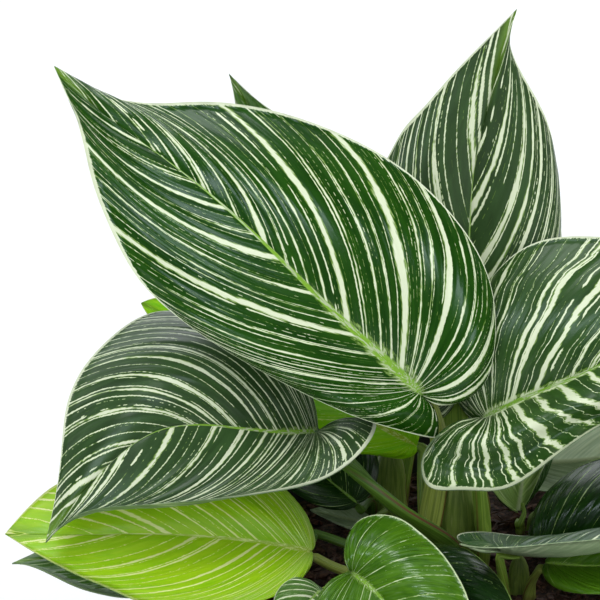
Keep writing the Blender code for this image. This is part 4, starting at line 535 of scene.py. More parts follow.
class Nodes:
    """Small helper around one material's node tree."""

    def __init__(self, name):
        self.mat = bpy.data.materials.new(name)
        self.mat.use_nodes = True
        self.t = self.mat.node_tree
        self.bsdf = self.t.nodes["Principled BSDF"]

    def new(self, kind, **props):
        n = self.t.nodes.new(kind)
        for k, v in props.items():
            setattr(n, k, v)
        return n

    def put(self, socket, value):
        if isinstance(value, bpy.types.NodeSocket):
            self.t.links.new(value, socket)
        elif value is not None:
            socket.default_value = value

    def math(self, op, a, b=None, c=None, clamp=False):
        n = self.new("ShaderNodeMath", operation=op, use_clamp=clamp)
        self.put(n.inputs[0], a)
        self.put(n.inputs[1], b)
        if c is not None:
            self.put(n.inputs[2], c)
        return n.outputs[0]

    def xyz(self, x, y, z):
        n = self.new("ShaderNodeCombineXYZ")
        for s, v in zip(n.inputs, (x, y, z)):
            self.put(s, v)
        return n.outputs[0]

    def noise(self, vector, scale=1.0, detail=2.0, rough=0.5, distortion=0.0):
        n = self.new("ShaderNodeTexNoise")
        self.put(n.inputs["Vector"], vector)
        n.inputs["Scale"].default_value = scale
        n.inputs["Detail"].default_value = detail
        n.inputs["Roughness"].default_value = rough
        n.inputs["Distortion"].default_value = distortion
        return n.outputs[0]

    def step(self, x, lo, hi, to0=0.0, to1=1.0):
        n = self.new("ShaderNodeMapRange", interpolation_type="SMOOTHSTEP")
        self.put(n.inputs["Value"], x)
        self.put(n.inputs["From Min"], lo)
        self.put(n.inputs["From Max"], hi)
        n.inputs["To Min"].default_value = to0
        n.inputs["To Max"].default_value = to1
        return n.outputs["Result"]

    def line(self, x, lo, hi, to0=0.0, to1=1.0):
        n = self.new("ShaderNodeMapRange")
        self.put(n.inputs["Value"], x)
        n.inputs["From Min"].default_value = lo
        n.inputs["From Max"].default_value = hi
        self.put(n.inputs["To Min"], to0)
        self.put(n.inputs["To Max"], to1)
        return n.outputs["Result"]

    def mix(self, f, a, b):
        n = self.new("ShaderNodeMix", data_type="RGBA")
        self.put(n.inputs["Factor"], f)
        self.put(n.inputs["A"], a if isinstance(a, bpy.types.NodeSocket) else (*a, 1.0))
        self.put(n.inputs["B"], b if isinstance(b, bpy.types.NodeSocket) else (*b, 1.0))
        for s in n.inputs:
            if s.name == "A" and s.type == "RGBA":
                self.put(s, a if isinstance(a, bpy.types.NodeSocket) else (*a, 1.0))
            if s.name == "B" and s.type == "RGBA":
                self.put(s, b if isinstance(b, bpy.types.NodeSocket) else (*b, 1.0))
        return [o for o in n.outputs if o.type == "RGBA"][0]

    def ramp(self, x, stops):
        n = self.new("ShaderNodeValToRGB")
        el = n.color_ramp.elements
        while len(el) < len(stops):
            el.new(0.5)
        for e, (p, c) in zip(el, stops):
            e.position, e.color = p, (*c, 1.0)
        self.put(n.inputs[0], x)
        return n.outputs[0]

    def bump(self, height, strength, distance, normal=None):
        n = self.new("ShaderNodeBump")
        n.inputs["Strength"].default_value = strength
        n.inputs["Distance"].default_value = distance
        self.put(n.inputs["Height"], height)
        if normal is not None:
            self.put(n.inputs["Normal"], normal)
        return n.outputs[0]

    def finish(self, colour=None, rough=None, normal=None, **constants):
        b = self.bsdf
        self.put(b.inputs["Base Color"], colour)
        self.put(b.inputs["Roughness"], rough)
        if normal is not None:
            self.put(b.inputs["Normal"], normal)
        for k, v in constants.items():
            b.inputs[k].default_value = v
        return self.mat


def stripe_curve(m, x, stripes):
    """Peaks of height one at the given side veins: (vein, half width, strength)."""
    n = m.new("ShaderNodeFloatCurve")
    us = np.linspace(0.0, 1.0, 257)
    f = np.zeros_like(us)
    for c, hw, st in stripes:
        c = round(c * 256) / 256
        f = np.maximum(f, st * np.clip(1 - np.abs(us - c) / (2.0 * hw), 0, 1))
    cm = n.mapping
    cu = cm.curves[0]
    keep = [0]
    for i in range(1, len(us) - 1):
        if not (f[i] == 0 and f[i - 1] == 0 and f[i + 1] == 0):
            keep.append(i)
    keep.append(len(us) - 1)
    cu.points[0].location = (us[0], f[0])
    cu.points[1].location = (us[-1], f[-1])
    for i in keep[1:-1]:
        cu.points.new(us[i], f[i])
    for p in cu.points:
        p.handle_type = "VECTOR"
    cm.update()
    m.put(n.inputs["Value"], x)
    return n.outputs[0]


GREEN_DARK = (0.006, 0.046, 0.0006)
GREEN_MID = (0.015, 0.080, 0.0015)
GREEN_LIME = (0.17, 0.30, 0.045)
CREAM = (0.71, 0.78, 0.55)


def random_stripes(seed, count, lo=0.03, hi=0.97, w0=0.0026, w1=0.0062, s0=0.65, s1=1.0):
    r = np.random.default_rng(seed)
    base = np.linspace(lo, hi, count) + r.uniform(-0.4, 0.4, count) * (hi - lo) / count
    return [(float(c), float(r.uniform(w0, w1)), float(r.uniform(s0, s1))) for c in base]


def vein_lines(m, x, v, z, count, lo, hi, breaks, keep, soft=0.13, drift=0.30, ids=0.0, ragged=None):
    """Fine lines along the side veins, one in each of count cells of x, each with
    its own place, width and breaks."""
    xs = m.math("MULTIPLY", x, float(count))
    cell = m.math("FLOOR", xs)
    fx = m.math("SUBTRACT", m.math("SUBTRACT", xs, cell), 0.5)
    wn = m.new("ShaderNodeTexWhiteNoise", noise_dimensions="3D")
    m.t.links.new(m.xyz(cell, z, 3.3 + ids), wn.inputs["Vector"])
    sp = m.new("ShaderNodeSeparateColor")
    m.t.links.new(wn.outputs["Color"], sp.inputs[0])
    r1, r2, r3 = sp.outputs[0], sp.outputs[1], sp.outputs[2]
    row = m.math("MULTIPLY", cell, 5.37)
    n1 = m.noise(m.xyz(row, m.math("MULTIPLY", v, 2.6), m.math("ADD", z, 4.0 + ids)), 1.0, 1.0)
    n2 = m.noise(m.xyz(row, m.math("MULTIPLY", v, breaks), m.math("ADD", z, 9.0 + ids)), 1.0, 1.0, 0.7)
    place = m.math("ADD", m.math("MULTIPLY", m.math("SUBTRACT", r1, 0.5), 0.42), m.math("MULTIPLY", m.math("SUBTRACT", n1, 0.5), drift))
    d = m.math("ABSOLUTE", m.math("SUBTRACT", fx, place))
    width = m.line(m.math("POWER", r2, 2.2), 0.0, 1.0, lo, hi)
    width = m.math("MULTIPLY", width, m.line(n1, 0.3, 0.7, 0.55, 1.35))
    if ragged is not None:
        width = m.math("ADD", width, ragged)
    cut = m.math("SUBTRACT", n2, m.line(r3, 0.0, 1.0, 0.5 - keep * 0.30, 0.5 - keep * 0.30 + 0.26))
    there = m.line(cut, -0.05, 0.05, -0.9, 1.0)
    return m.math("ADD", m.math("DIVIDE", m.math("SUBTRACT", m.math("MULTIPLY", width, there), d), soft), 0.5, clamp=True)


def leaf_material(name, seed, left, right, dark=GREEN_DARK, mid=GREEN_MID, lime=GREEN_LIME, cream=CREAM,
                  bold=1.0, medium=0.5, fine=0.5, rough=0.34, relief=0.35, patch=0.5, margin=0.7, rib=(0.22, 0.44, 0.03),
                  lines=54, hairs=128, flank=0.6, wide=0.15, lean=0.05, gloss=0.38, rim=(0.974, 0.974), wave=0.016, spine=1.0, thin=0.58):
    m = Nodes(name)
    uv = m.new("ShaderNodeUVMap", uv_map="vein")
    sep = m.new("ShaderNodeSeparateXYZ")
    m.t.links.new(uv.outputs[0], sep.inputs[0])
    u, wv = sep.outputs[0], sep.outputs[1]
    w = m.math("SUBTRACT", m.math("MULTIPLY", wv, 2.0), 1.0)
    v = m.math("ABSOLUTE", w)
    side = m.math("GREATER_THAN", w, 0.0)
    z = m.math("ADD", m.math("MULTIPLY", side, 7.31), float(seed) * 3.7)

    def grain(fu, fv, dz=0.0, detail=1.0, rough_=0.5):
        return m.noise(m.xyz(m.math("MULTIPLY", u, fu), m.math("MULTIPLY", v, fv), m.math("ADD", z, dz)), 1.0, detail, rough_)

    wob = m.math("MULTIPLY", m.math("SUBTRACT", grain(5.0, 2.2 if wave < 0.02 else 4.5, 11.0, 2.0), 0.5), wave)
    tail = m.step(u, 0.76, 0.93, 1.0, 0.0)
    wob = m.math("MULTIPLY", wob, m.line(tail, 0.0, 1.0, 0.15, 1.0))
    k = m.math("MULTIPLY", m.step(u, 0.28, 0.50, -0.5, 1.0), tail)
    uw = m.math("ADD", m.math("ADD", u, wob), m.math("MULTIPLY", m.math("MULTIPLY", k, m.math("SUBTRACT", v, 0.5)), lean))
    cl, cr = stripe_curve(m, uw, left), stripe_curve(m, uw, right)
    b = m.math("ADD", m.math("MULTIPLY", cl, m.math("SUBTRACT", 1.0, side)), m.math("MULTIPLY", cr, side))
    # bold stripes swell and thin along their length, with a ragged, dashed edge
    swell = m.math("SUBTRACT", grain(16.0, 4.0, 3.0, 1.0, 0.5), 0.5)
    rag = m.math("SUBTRACT", grain(250.0, 26.0, 83.0, 1.0, 0.5), 0.5)
    taper = m.math("MULTIPLY", m.step(v, 0.40, 1.0), -0.20)
    bold_f = m.math("ADD", m.math("ADD", b, m.math("MULTIPLY", swell, 0.75)), taper)
    bold_f = m.math("ADD", bold_f, m.math("MULTIPLY", rag, 0.55))
    bold_f = m.math("MULTIPLY", m.math("MULTIPLY", bold_f, bold), m.step(b, 0.10, 0.30))
    dots = m.math("SUBTRACT", grain(300.0, 55.0, 53.0, 1.0, 0.6), 0.5)
    mid_f = m.math("MULTIPLY", vein_lines(m, uw, v, z, lines, 0.040, wide, 6.0, medium + 0.30, 0.16, ragged=m.math("MULTIPLY", dots, 0.16)), thin)
    fine_f = m.math("MULTIPLY", vein_lines(m, uw, v, z, hairs, 0.05, 0.20, 34.0, fine - 0.50, 0.30, 0.15, 20.0), 0.60)
    field = m.math("MAXIMUM", bold_f, m.math("MAXIMUM", mid_f, fine_f))
    # speckled green midrib band with pale flanks that open out towards the base
    near = m.line(u, 0.56, 0.93, 0.030 * spine, 0.017 * spine)
    band = m.math("DIVIDE", v, near)
    fleck = grain(90.0, 34.0, 91.0, 2.0, 0.7)
    pale = m.math("MULTIPLY", m.math("ADD", m.step(band, 3.0, 1.0, 0.0, 0.62), m.math("MULTIPLY", m.math("SUBTRACT", fleck, 0.5), 0.9)), flank * 1.2)
    pale = m.math("MULTIPLY", m.math("MULTIPLY", pale, m.step(band, 3.4, 2.0)), m.step(u, 0.60, 0.90, 1.0, 0.55))
    field = m.math("MAXIMUM", field, pale)
    rims = m.math("ADD", rim[0], m.math("MULTIPLY", side, rim[1] - rim[0]))
    edge = m.step(m.math("SUBTRACT", m.math("ADD", v, m.math("MULTIPLY", dots, 0.025)), rims), -0.008, 0.008, 0.0, margin)
    field = m.math("MAXIMUM", field, edge)
    tone = m.step(grain(9.0, 3.0, 5.0, 3.0, 0.6), 0.5 - 0.35 * patch, 0.5 + 0.35 * patch)
    streak = m.step(grain(60.0, 3.5, 61.0, 2.0), 0.42, 0.62)
    base = m.mix(m.math("ADD", m.math("MULTIPLY", tone, 0.6), m.math("MULTIPLY", streak, 0.4)), dark, mid)
    base = m.mix(m.step(u, 0.955, 0.995, 0.0, 0.8), base, (0.15, 0.30, 0.015))
    c1 = m.mix(m.step(field, 0.34, 0.50), base, lime)
    c2 = m.mix(m.step(field, 0.46, 0.62), c1, cream)
    mottle = grain(46.0, 60.0, 97.0, 2.0, 0.7)
    core = m.mix(m.step(mottle, 0.50, 0.58), rib, m.mix(0.55, lime, cream))
    colour = m.mix(m.step(band, 0.55, 0.95, 1.0, 0.0), c2, core)
    pleat = grain(30.0, 0.7, 71.0, 2.0, 0.5)
    skin = m.noise(m.new("ShaderNodeTexCoord").outputs["Object"], 900.0, 2.0)
    normal = m.bump(pleat, relief, 0.0026)
    normal = m.bump(skin, 0.06, 0.0004, normal)
    rg = m.step(field, 0.4, 0.6, rough, rough + 0.06)
    return m.finish(colour, rg, normal, **{"Specular IOR Level": gloss, "Subsurface Weight": 0.0})


def under_material(name, seed, a=(0.10, 0.17, 0.075), b=(0.17, 0.25, 0.12), line=(0.30, 0.38, 0.21), rough=0.5):
    m = Nodes(name)
    uv = m.new("ShaderNodeUVMap", uv_map="vein")
    sep = m.new("ShaderNodeSeparateXYZ")
    m.t.links.new(uv.outputs[0], sep.inputs[0])
    u = sep.outputs[0]
    v = m.math("ABSOLUTE", m.math("SUBTRACT", m.math("MULTIPLY", sep.outputs[1], 2.0), 1.0))
    n1 = m.noise(m.xyz(m.math("MULTIPLY", u, 55.0), m.math("MULTIPLY", v, 2.0), float(seed)), 1.0, 2.0)
    n2 = m.noise(m.xyz(m.math("MULTIPLY", u, 24.0), m.math("MULTIPLY", v, 1.5), float(seed) + 4.0), 1.0, 1.0)
    c = m.mix(m.step(n1, 0.4, 0.62), a, b)
    c = m.mix(m.step(n2, 0.60, 0.68), c, line)
    c = m.mix(m.step(v, 0.012, 0.04, 0.8, 0.0), c, (0.33, 0.40, 0.20))
    return m.finish(c, rough, m.bump(n1, 0.25, 0.001))


def stalk_material(name, seed, a=(0.09, 0.16, 0.022), b=(0.26, 0.34, 0.075), streak=(0.40, 0.45, 0.16), rust=0.6):
    """Lengthwise streaked skin; uv x runs round the stalk, y along it."""
    m = Nodes(name)
    uv = m.new("ShaderNodeUVMap", uv_map="vein")
    sep = m.new("ShaderNodeSeparateXYZ")
    m.t.links.new(uv.outputs[0], sep.inputs[0])
    x, y = sep.outputs[0], sep.outputs[1]
    ang = m.math("MULTIPLY", x, 6.28318)
    cx, sx = m.math("COSINE", ang), m.math("SINE", ang)
    long1 = m.noise(m.xyz(m.math("MULTIPLY", cx, 6.0), m.math("MULTIPLY", sx, 6.0), m.math("ADD", m.math("MULTIPLY", y, 1.6), float(seed))), 1.0, 3.0, 0.6)
    long2 = m.noise(m.xyz(m.math("MULTIPLY", cx, 14.0), m.math("MULTIPLY", sx, 14.0), m.math("ADD", m.math("MULTIPLY", y, 5.0), float(seed) + 9.0)), 1.0, 2.0)
    spots = m.noise(m.new("ShaderNodeTexCoord").outputs["Object"], 420.0, 3.0, 0.7)
    c = m.mix(m.step(long1, 0.36, 0.64), a, b)
    c = m.mix(m.math("MULTIPLY", m.step(long2, 0.56, 0.68), 0.55), c, streak)
    side = m.step(m.math("ABSOLUTE", cx), 0.975, 0.997)
    low = m.step(y, 0.30, 0.75, 1.0, 0.0)
    c = m.mix(m.math("MULTIPLY", m.math("MULTIPLY", side, low), rust), c, (0.13, 0.022, 0.012))
    c = m.mix(m.step(spots, 0.70, 0.78, 0.0, 0.6), c, (0.13, 0.06, 0.02))
    foot = m.step(y, 0.0, 0.16, 0.55, 0.0)
    c = m.mix(foot, c, (0.10, 0.05, 0.02))
    return m.finish(c, 0.42, m.bump(long2, 0.3, 0.0006), **{"Specular IOR Level": 0.5})


# ---------------------------------------------------------------- meshes
def mesh_object(name, verts, faces, mats, face_mat=None, uvs=None, smooth_faces=True):
    me = bpy.data.meshes.new(name)
    me.from_pydata([tuple(map(float, p)) for p in verts], [], [tuple(int(i) for i in f) for f in faces])
    for mt in mats:
        me.materials.append(mt)
    if face_mat is not None:
        me.polygons.foreach_set("material_index", np.asarray(face_mat, np.int32))
    if smooth_faces:
        me.polygons.foreach_set("use_smooth", np.ones(len(me.polygons), bool))
    if uvs:
        loops = np.empty(len(me.loops), np.int32)
        me.loops.foreach_get("vertex_index", loops)
        for key, data in uvs.items():
            layer = me.uv_layers.new(name=key)
            data = np.asarray(data, np.float32)
            vals = data if len(data) == len(me.loops) else data[loops]
            layer.data.foreach_set("uv", vals.ravel())
    me.update()
    ob = bpy.data.objects.new(name, me)
    bpy.context.scene.collection.objects.link(ob)
    return ob


def half_steps(n):
    """Stations from the midrib to the margin, closest together at the midrib and wider apart towards the margin."""
    t = np.linspace(0, 1, n)
    return np.clip(0.5 * t + 0.5 * t**2.2, 0, 1)


def leaf(name, node, mats, nu=92, nh=22, thick=0.00050, rib=0.0009, quilt=0.00016, waves=15):
    blade = BLADES[node]
    surface = blade_surface(blade)
    us = np.linspace(0, 1, nu + 1)[:-1]
    us = us + 0.10 * np.sin(2 * np.pi * us) / (2 * np.pi)
    h = half_steps(nh + 1)
    ws = np.concatenate([-h[::-1], h[1:]])
    u, w = np.meshgrid(us, ws, indexing="ij")
    g = surface(u, w)
    n_u, n_w = u.shape
    p = np.vstack([g.reshape(-1, 3), surface(np.array([1.0]), np.array([0.0]))])
    quads = []
    for i in range(n_u - 1):
        a = i * n_w + np.arange(n_w - 1)
        quads.append(np.stack([a, a + n_w, a + n_w + 1, a + 1], 1))
    quads = np.concatenate(quads)
    tip = n_u * n_w
    a = (n_u - 1) * n_w + np.arange(n_w - 1)
    tris = np.stack([a, np.full_like(a, tip), a + 1], 1)
    nrm = np.zeros_like(p)
    fn = np.cross(p[quads[:, 2]] - p[quads[:, 0]], p[quads[:, 3]] - p[quads[:, 1]])
    for k in range(4):
        np.add.at(nrm, quads[:, k], fn)
    nrm = unit(nrm)
    nrm[tip] = nrm[(n_u - 1) * n_w + n_w // 2]
    mid_i = (nu * 2 // 5) * n_w + n_w // 2
    sky = -EYE_F * blade.get("facing", 1) if "left" in blade else np.array(blade["up"], float)
    if nrm[mid_i] @ sky < 0:
        nrm = -nrm
        flip = True
    else:
        flip = False
    uu = np.concatenate([u.ravel(), [1.0]])
    wv = np.concatenate([w.ravel(), [0.0]])
    av = np.abs(wv)
    rib_p = surface(us, np.zeros_like(us))
    dist = np.linalg.norm(g - rib_p[:, None, :], axis=2).ravel()
    dist = np.concatenate([dist, [0.0]])
    lengthwise = np.clip(1 - vein_start(uu)[:, 0], 0.0, 1)
    edge = np.clip((1 - av) / 0.05, 0, 1)
    t_half = thick * (0.25 + 0.25 * edge)
    relief = quilt * np.sin(2 * np.pi * waves * uu + 1.3 * wv) * np.clip(4 * av * (1 - av), 0, 1)
    groove = 0.0003 * np.exp(-((dist / 0.0009) ** 2)) * (0.3 + 0.7 * lengthwise)
    ridge = rib * np.exp(-((dist / 0.0013) ** 2)) * (0.15 + 0.85 * lengthwise)
    top = p + nrm * (t_half + relief - groove)[:, None]
    bot = p - nrm * (t_half - relief + ridge)[:, None]
    n = len(p)
    verts = np.vstack([top, bot])
    f_top = [tuple(q) for q in quads] + [tuple(q) for q in tris]
    if flip:
        f_top = [q[::-1] for q in f_top]
    f_bot = [tuple(i + n for i in q[::-1]) for q in f_top]
    ring = [i * n_w for i in range(n_u)] + [tip] + [i * n_w + n_w - 1 for i in range(n_u - 1, -1, -1)] + list(range(n_w - 2, 0, -1))
    f_rim = []
    for i in range(len(ring)):
        a, b = ring[i], ring[(i + 1) % len(ring)]
        f_rim.append((a, b, b + n, a + n) if not flip else (b, a, a + n, b + n))
    faces = f_top + f_bot + f_rim
    mi = [0] * len(f_top) + [1] * len(f_bot) + [1] * len(f_rim)
    vein = np.stack([uu, 0.5 + 0.5 * wv], 1)
    vein = np.vstack([vein, vein])
    flat = np.stack([0.02 + 0.96 * uu, 0.01 + 0.45 * (0.5 + 0.5 * wv)], 1)
    flat2 = flat + np.array([0.0, 0.485])
    bake = np.vstack([flat, flat2])
    loop_bake = []
    for q in f_top:
        loop_bake += [bake[i] for i in q]
    for q in f_bot:
        loop_bake += [bake[i] for i in q]
    m_ = len(f_rim)
    for i, q in enumerate(f_rim):
        x0, x1 = 0.02 + 0.96 * i / m_, 0.02 + 0.96 * (i + 1) / m_
        loop_bake += [(x0, 0.972), (x1, 0.972), (x1, 0.990), (x0, 0.990)]
    ob = mesh_object(name, verts, faces, mats, mi, {"vein": vein, "OFBake": np.array(loop_bake)})
    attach(ob, "root")
    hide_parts(node)
    return ob


def stalk(name, key, mat, rings=34, sides=20, fat=1.0):
    blade = BLADES["blade_" + key]
    surface = blade_surface(blade)
    f = stalk_path(key)
    t = np.linspace(0, 1, rings)
    p, side, front, ww, hh = f(t)
    ww = ww * (1 + (fat - 1) * np.clip(t * 3, 0, 1))
    base = surface(np.array([0.0]), np.array([0.0]))[0]
    inner = surface(np.array([0.55]), np.array([0.0]))[0]
    # carry the stalk on into the midrib's underside
    face = unit(p[-1] - base - unit(inner - base) * ((p[-1] - base) @ unit(inner - base)))
    extra = [base + face * 0.0019, base + (inner - base) * 0.35 + face * 0.0016, inner + face * 0.0009]
    q = np.vstack([p[-3:], extra])
    chord = np.concatenate([[0], np.cumsum(np.linalg.norm(np.diff(q, axis=0), axis=1))])
    sp = spline(chord, q)
    tt = np.linspace(chord[2], chord[-1], 10)[1:]
    p2 = sp(tt)
    k = (tt - chord[2]) / (chord[-1] - chord[2])
    w2 = ww[-1] * (1 - k) ** 1.3 + 0.0006 * k
    h2 = hh[-1] * (1 - k) ** 1.6 + 0.0004 * k
    p = np.vstack([p, p2])
    ww = np.concatenate([ww, w2])
    hh = np.concatenate([hh, h2])
    side = np.vstack([side, np.repeat(side[-1:], len(p2), 0)])
    d = unit(np.gradient(p, axis=0))
    d[0] = (0, 0, 1)
    side = unit(side - d * np.sum(side * d, axis=1, keepdims=True))
    front = np.cross(side, d)
    n = len(p)
    a = 2 * np.pi * np.arange(sides) / sides
    c, s = np.cos(a), np.sin(a)
    along = np.linspace(0, 1, n)
    lean = unit((0, 0, 1.0)) @ front.T
    sign = np.where(lean >= 0, 1.0, -1.0)
    groove = 0.42 * np.clip(s[None, :] * sign[:, None], 0, 1) ** 3 * np.clip(1.2 - np.abs(c[None, :]) * 1.6, 0, 1)
    groove = groove * np.clip(along * 6, 0, 1)[:, None] * np.clip((1 - along) * 6, 0, 1)[:, None]
    ridges = 1 + 0.035 * np.cos(7 * a)[None, :] * np.ones((n, 1))
    grid = (p[:, None, :] + side[:, None, :] * (ww[:, None] * c * ridges)[..., None]
            + front[:, None, :] * (hh[:, None] * s * ridges * (1 - groove))[..., None])
    verts = list(grid.reshape(-1, 3)) + [p[0], p[-1]]
    faces = []
    for i in range(n - 1):
        for j in range(sides):
            x, y = i * sides + j, i * sides + (j + 1) % sides
            faces.append((y, x, x + sides, y + sides))
    for j in range(sides):
        faces.append((len(verts) - 2, j, (j + 1) % sides))
        faces.append((len(verts) - 1, (n - 1) * sides + (j + 1) % sides, (n - 1) * sides + j))
    uv = np.zeros((len(verts), 2))
    uv[: n * sides, 0] = np.tile(np.arange(sides) / sides, n)
    uv[: n * sides, 1] = np.repeat(along, sides)
    uv[-1] = (0.5, 1.0)
    loops = []
    for i in range(n - 1):
        for j in range(sides):
            x0, x1 = j / sides, (j + 1) / sides
            y0, y1 = along[i], along[i + 1]
            loops += [(x1, y0), (x0, y0), (x0, y1), (x1, y1)]
    for j in range(sides):
        loops += [((j + 0.5) / sides, 0.0), (j / sides, 0.001), ((j + 1) / sides, 0.001)]
        loops += [((j + 0.5) / sides, 1.0), ((j + 1) / sides, 0.999), (j / sides, 0.999)]
    ob = mesh_object(name, verts, faces, [mat], None, {"vein": np.array(loops)})
    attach(ob, "root")
    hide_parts("stalk_" + key)
    return ob


# ---------------------------------------------------------------- pot and mix
POT_TOP_R, POT_RIM_R, POT_FOOT_R = 0.0700, 0.0725, 0.0520
POT_WALL, POT_FLOOR, RIM_DEPTH = 0.0022, 0.0030, 0.0110


def wall_r(z):
    return POT_FOOT_R + (POT_TOP_R - POT_FOOT_R) * z / POT_HEIGHT


def arc(cx, cz, r, a0, a1, n=5):
    return [(cx + r * math.cos(math.radians(a0 + (a1 - a0) * i / n)), cz + r * math.sin(math.radians(a0 + (a1 - a0) * i / n))) for i in range(n + 1)]


def turned(name, outline, steps, mat):
    me = bpy.data.meshes.new(name)
    me.from_pydata([(r, 0.0, z) for r, z in outline], [(i, i + 1) for i in range(len(outline) - 1)], [])
    ob = bpy.data.objects.new(name, me)
    bpy.context.scene.collection.objects.link(ob)
    me.materials.append(mat)
    sc = ob.modifiers.new("turn", "SCREW")
    sc.axis, sc.angle = "Z", 2 * math.pi
    sc.steps = sc.render_steps = steps
    sc.use_merge_vertices, sc.merge_threshold = True, 0.00001
    sc.use_smooth_shade = True
    return ob


def settle(ob):
    """Apply the modifiers to the mesh."""
    dg = bpy.context.evaluated_depsgraph_get()
    me = bpy.data.meshes.new_from_object(ob.evaluated_get(dg))
    ob.modifiers.clear()
    ob.data = me
    return ob


def make_pot():
    m = Nodes("pot_moulded")
    co = m.new("ShaderNodeTexCoord").outputs["Object"]
    fine = m.noise(co, 1400.0, 3.0, 0.6)
    broad = m.noise(co, 45.0, 4.0, 0.6)
    scuff = m.noise(co, 260.0, 4.0, 0.7)
    c = m.mix(broad, (0.018, 0.018, 0.019), (0.036, 0.035, 0.035))
    c = m.mix(m.step(scuff, 0.66, 0.76, 0.0, 0.35), c, (0.085, 0.08, 0.075))
    rough = m.line(broad, 0.3, 0.7, 0.46, 0.62)
    mat = m.finish(c, rough, m.bump(fine, 0.25, 0.0004))
    h, w = POT_HEIGHT, POT_WALL
    o = [(0.0, POT_FLOOR), (wall_r(POT_FLOOR) - w - 0.003, POT_FLOOR)]
    o += [(wall_r(0.006) - w, 0.006), (wall_r(h - RIM_DEPTH) - w, h - RIM_DEPTH), (wall_r(h) - w, h - 0.0012)]
    o += arc(wall_r(h) - w + 0.0011, h - 0.0011, 0.0011, 180, 90)
    o += arc(POT_RIM_R - 0.0012, h - 0.0012, 0.0012, 90, 0)
    o += [(POT_RIM_R - 0.0007, h - RIM_DEPTH + 0.0012)]
    o += arc(POT_RIM_R - 0.0013, h - RIM_DEPTH + 0.0006, 0.0006, 0, -90, 3)
    o += [(wall_r(h - RIM_DEPTH) + 0.0004, h - RIM_DEPTH), (wall_r(h - RIM_DEPTH - 0.0008), h - RIM_DEPTH - 0.0008)]
    for z in (0.092, 0.091, 0.090):
        o.append((wall_r(z) + (0.0004 if z == 0.091 else 0.0), z))
    o += [(wall_r(0.018), 0.018), (wall_r(0.0172) - 0.0006, 0.0168), (wall_r(0.004) - 0.0006, 0.004)]
    o += arc(POT_FOOT_R - 0.0030, 0.0026, 0.0026, -5, -90, 5)
    o += [(0.046, 0.0), (0.0, 0.0)]
    pot = turned("pot_moulded", o, 144, mat)
    settle(pot)
    pot.data.set_sharp_from_angle(angle=math.radians(35))
    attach(pot, "root")
    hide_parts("pot")
    return pot


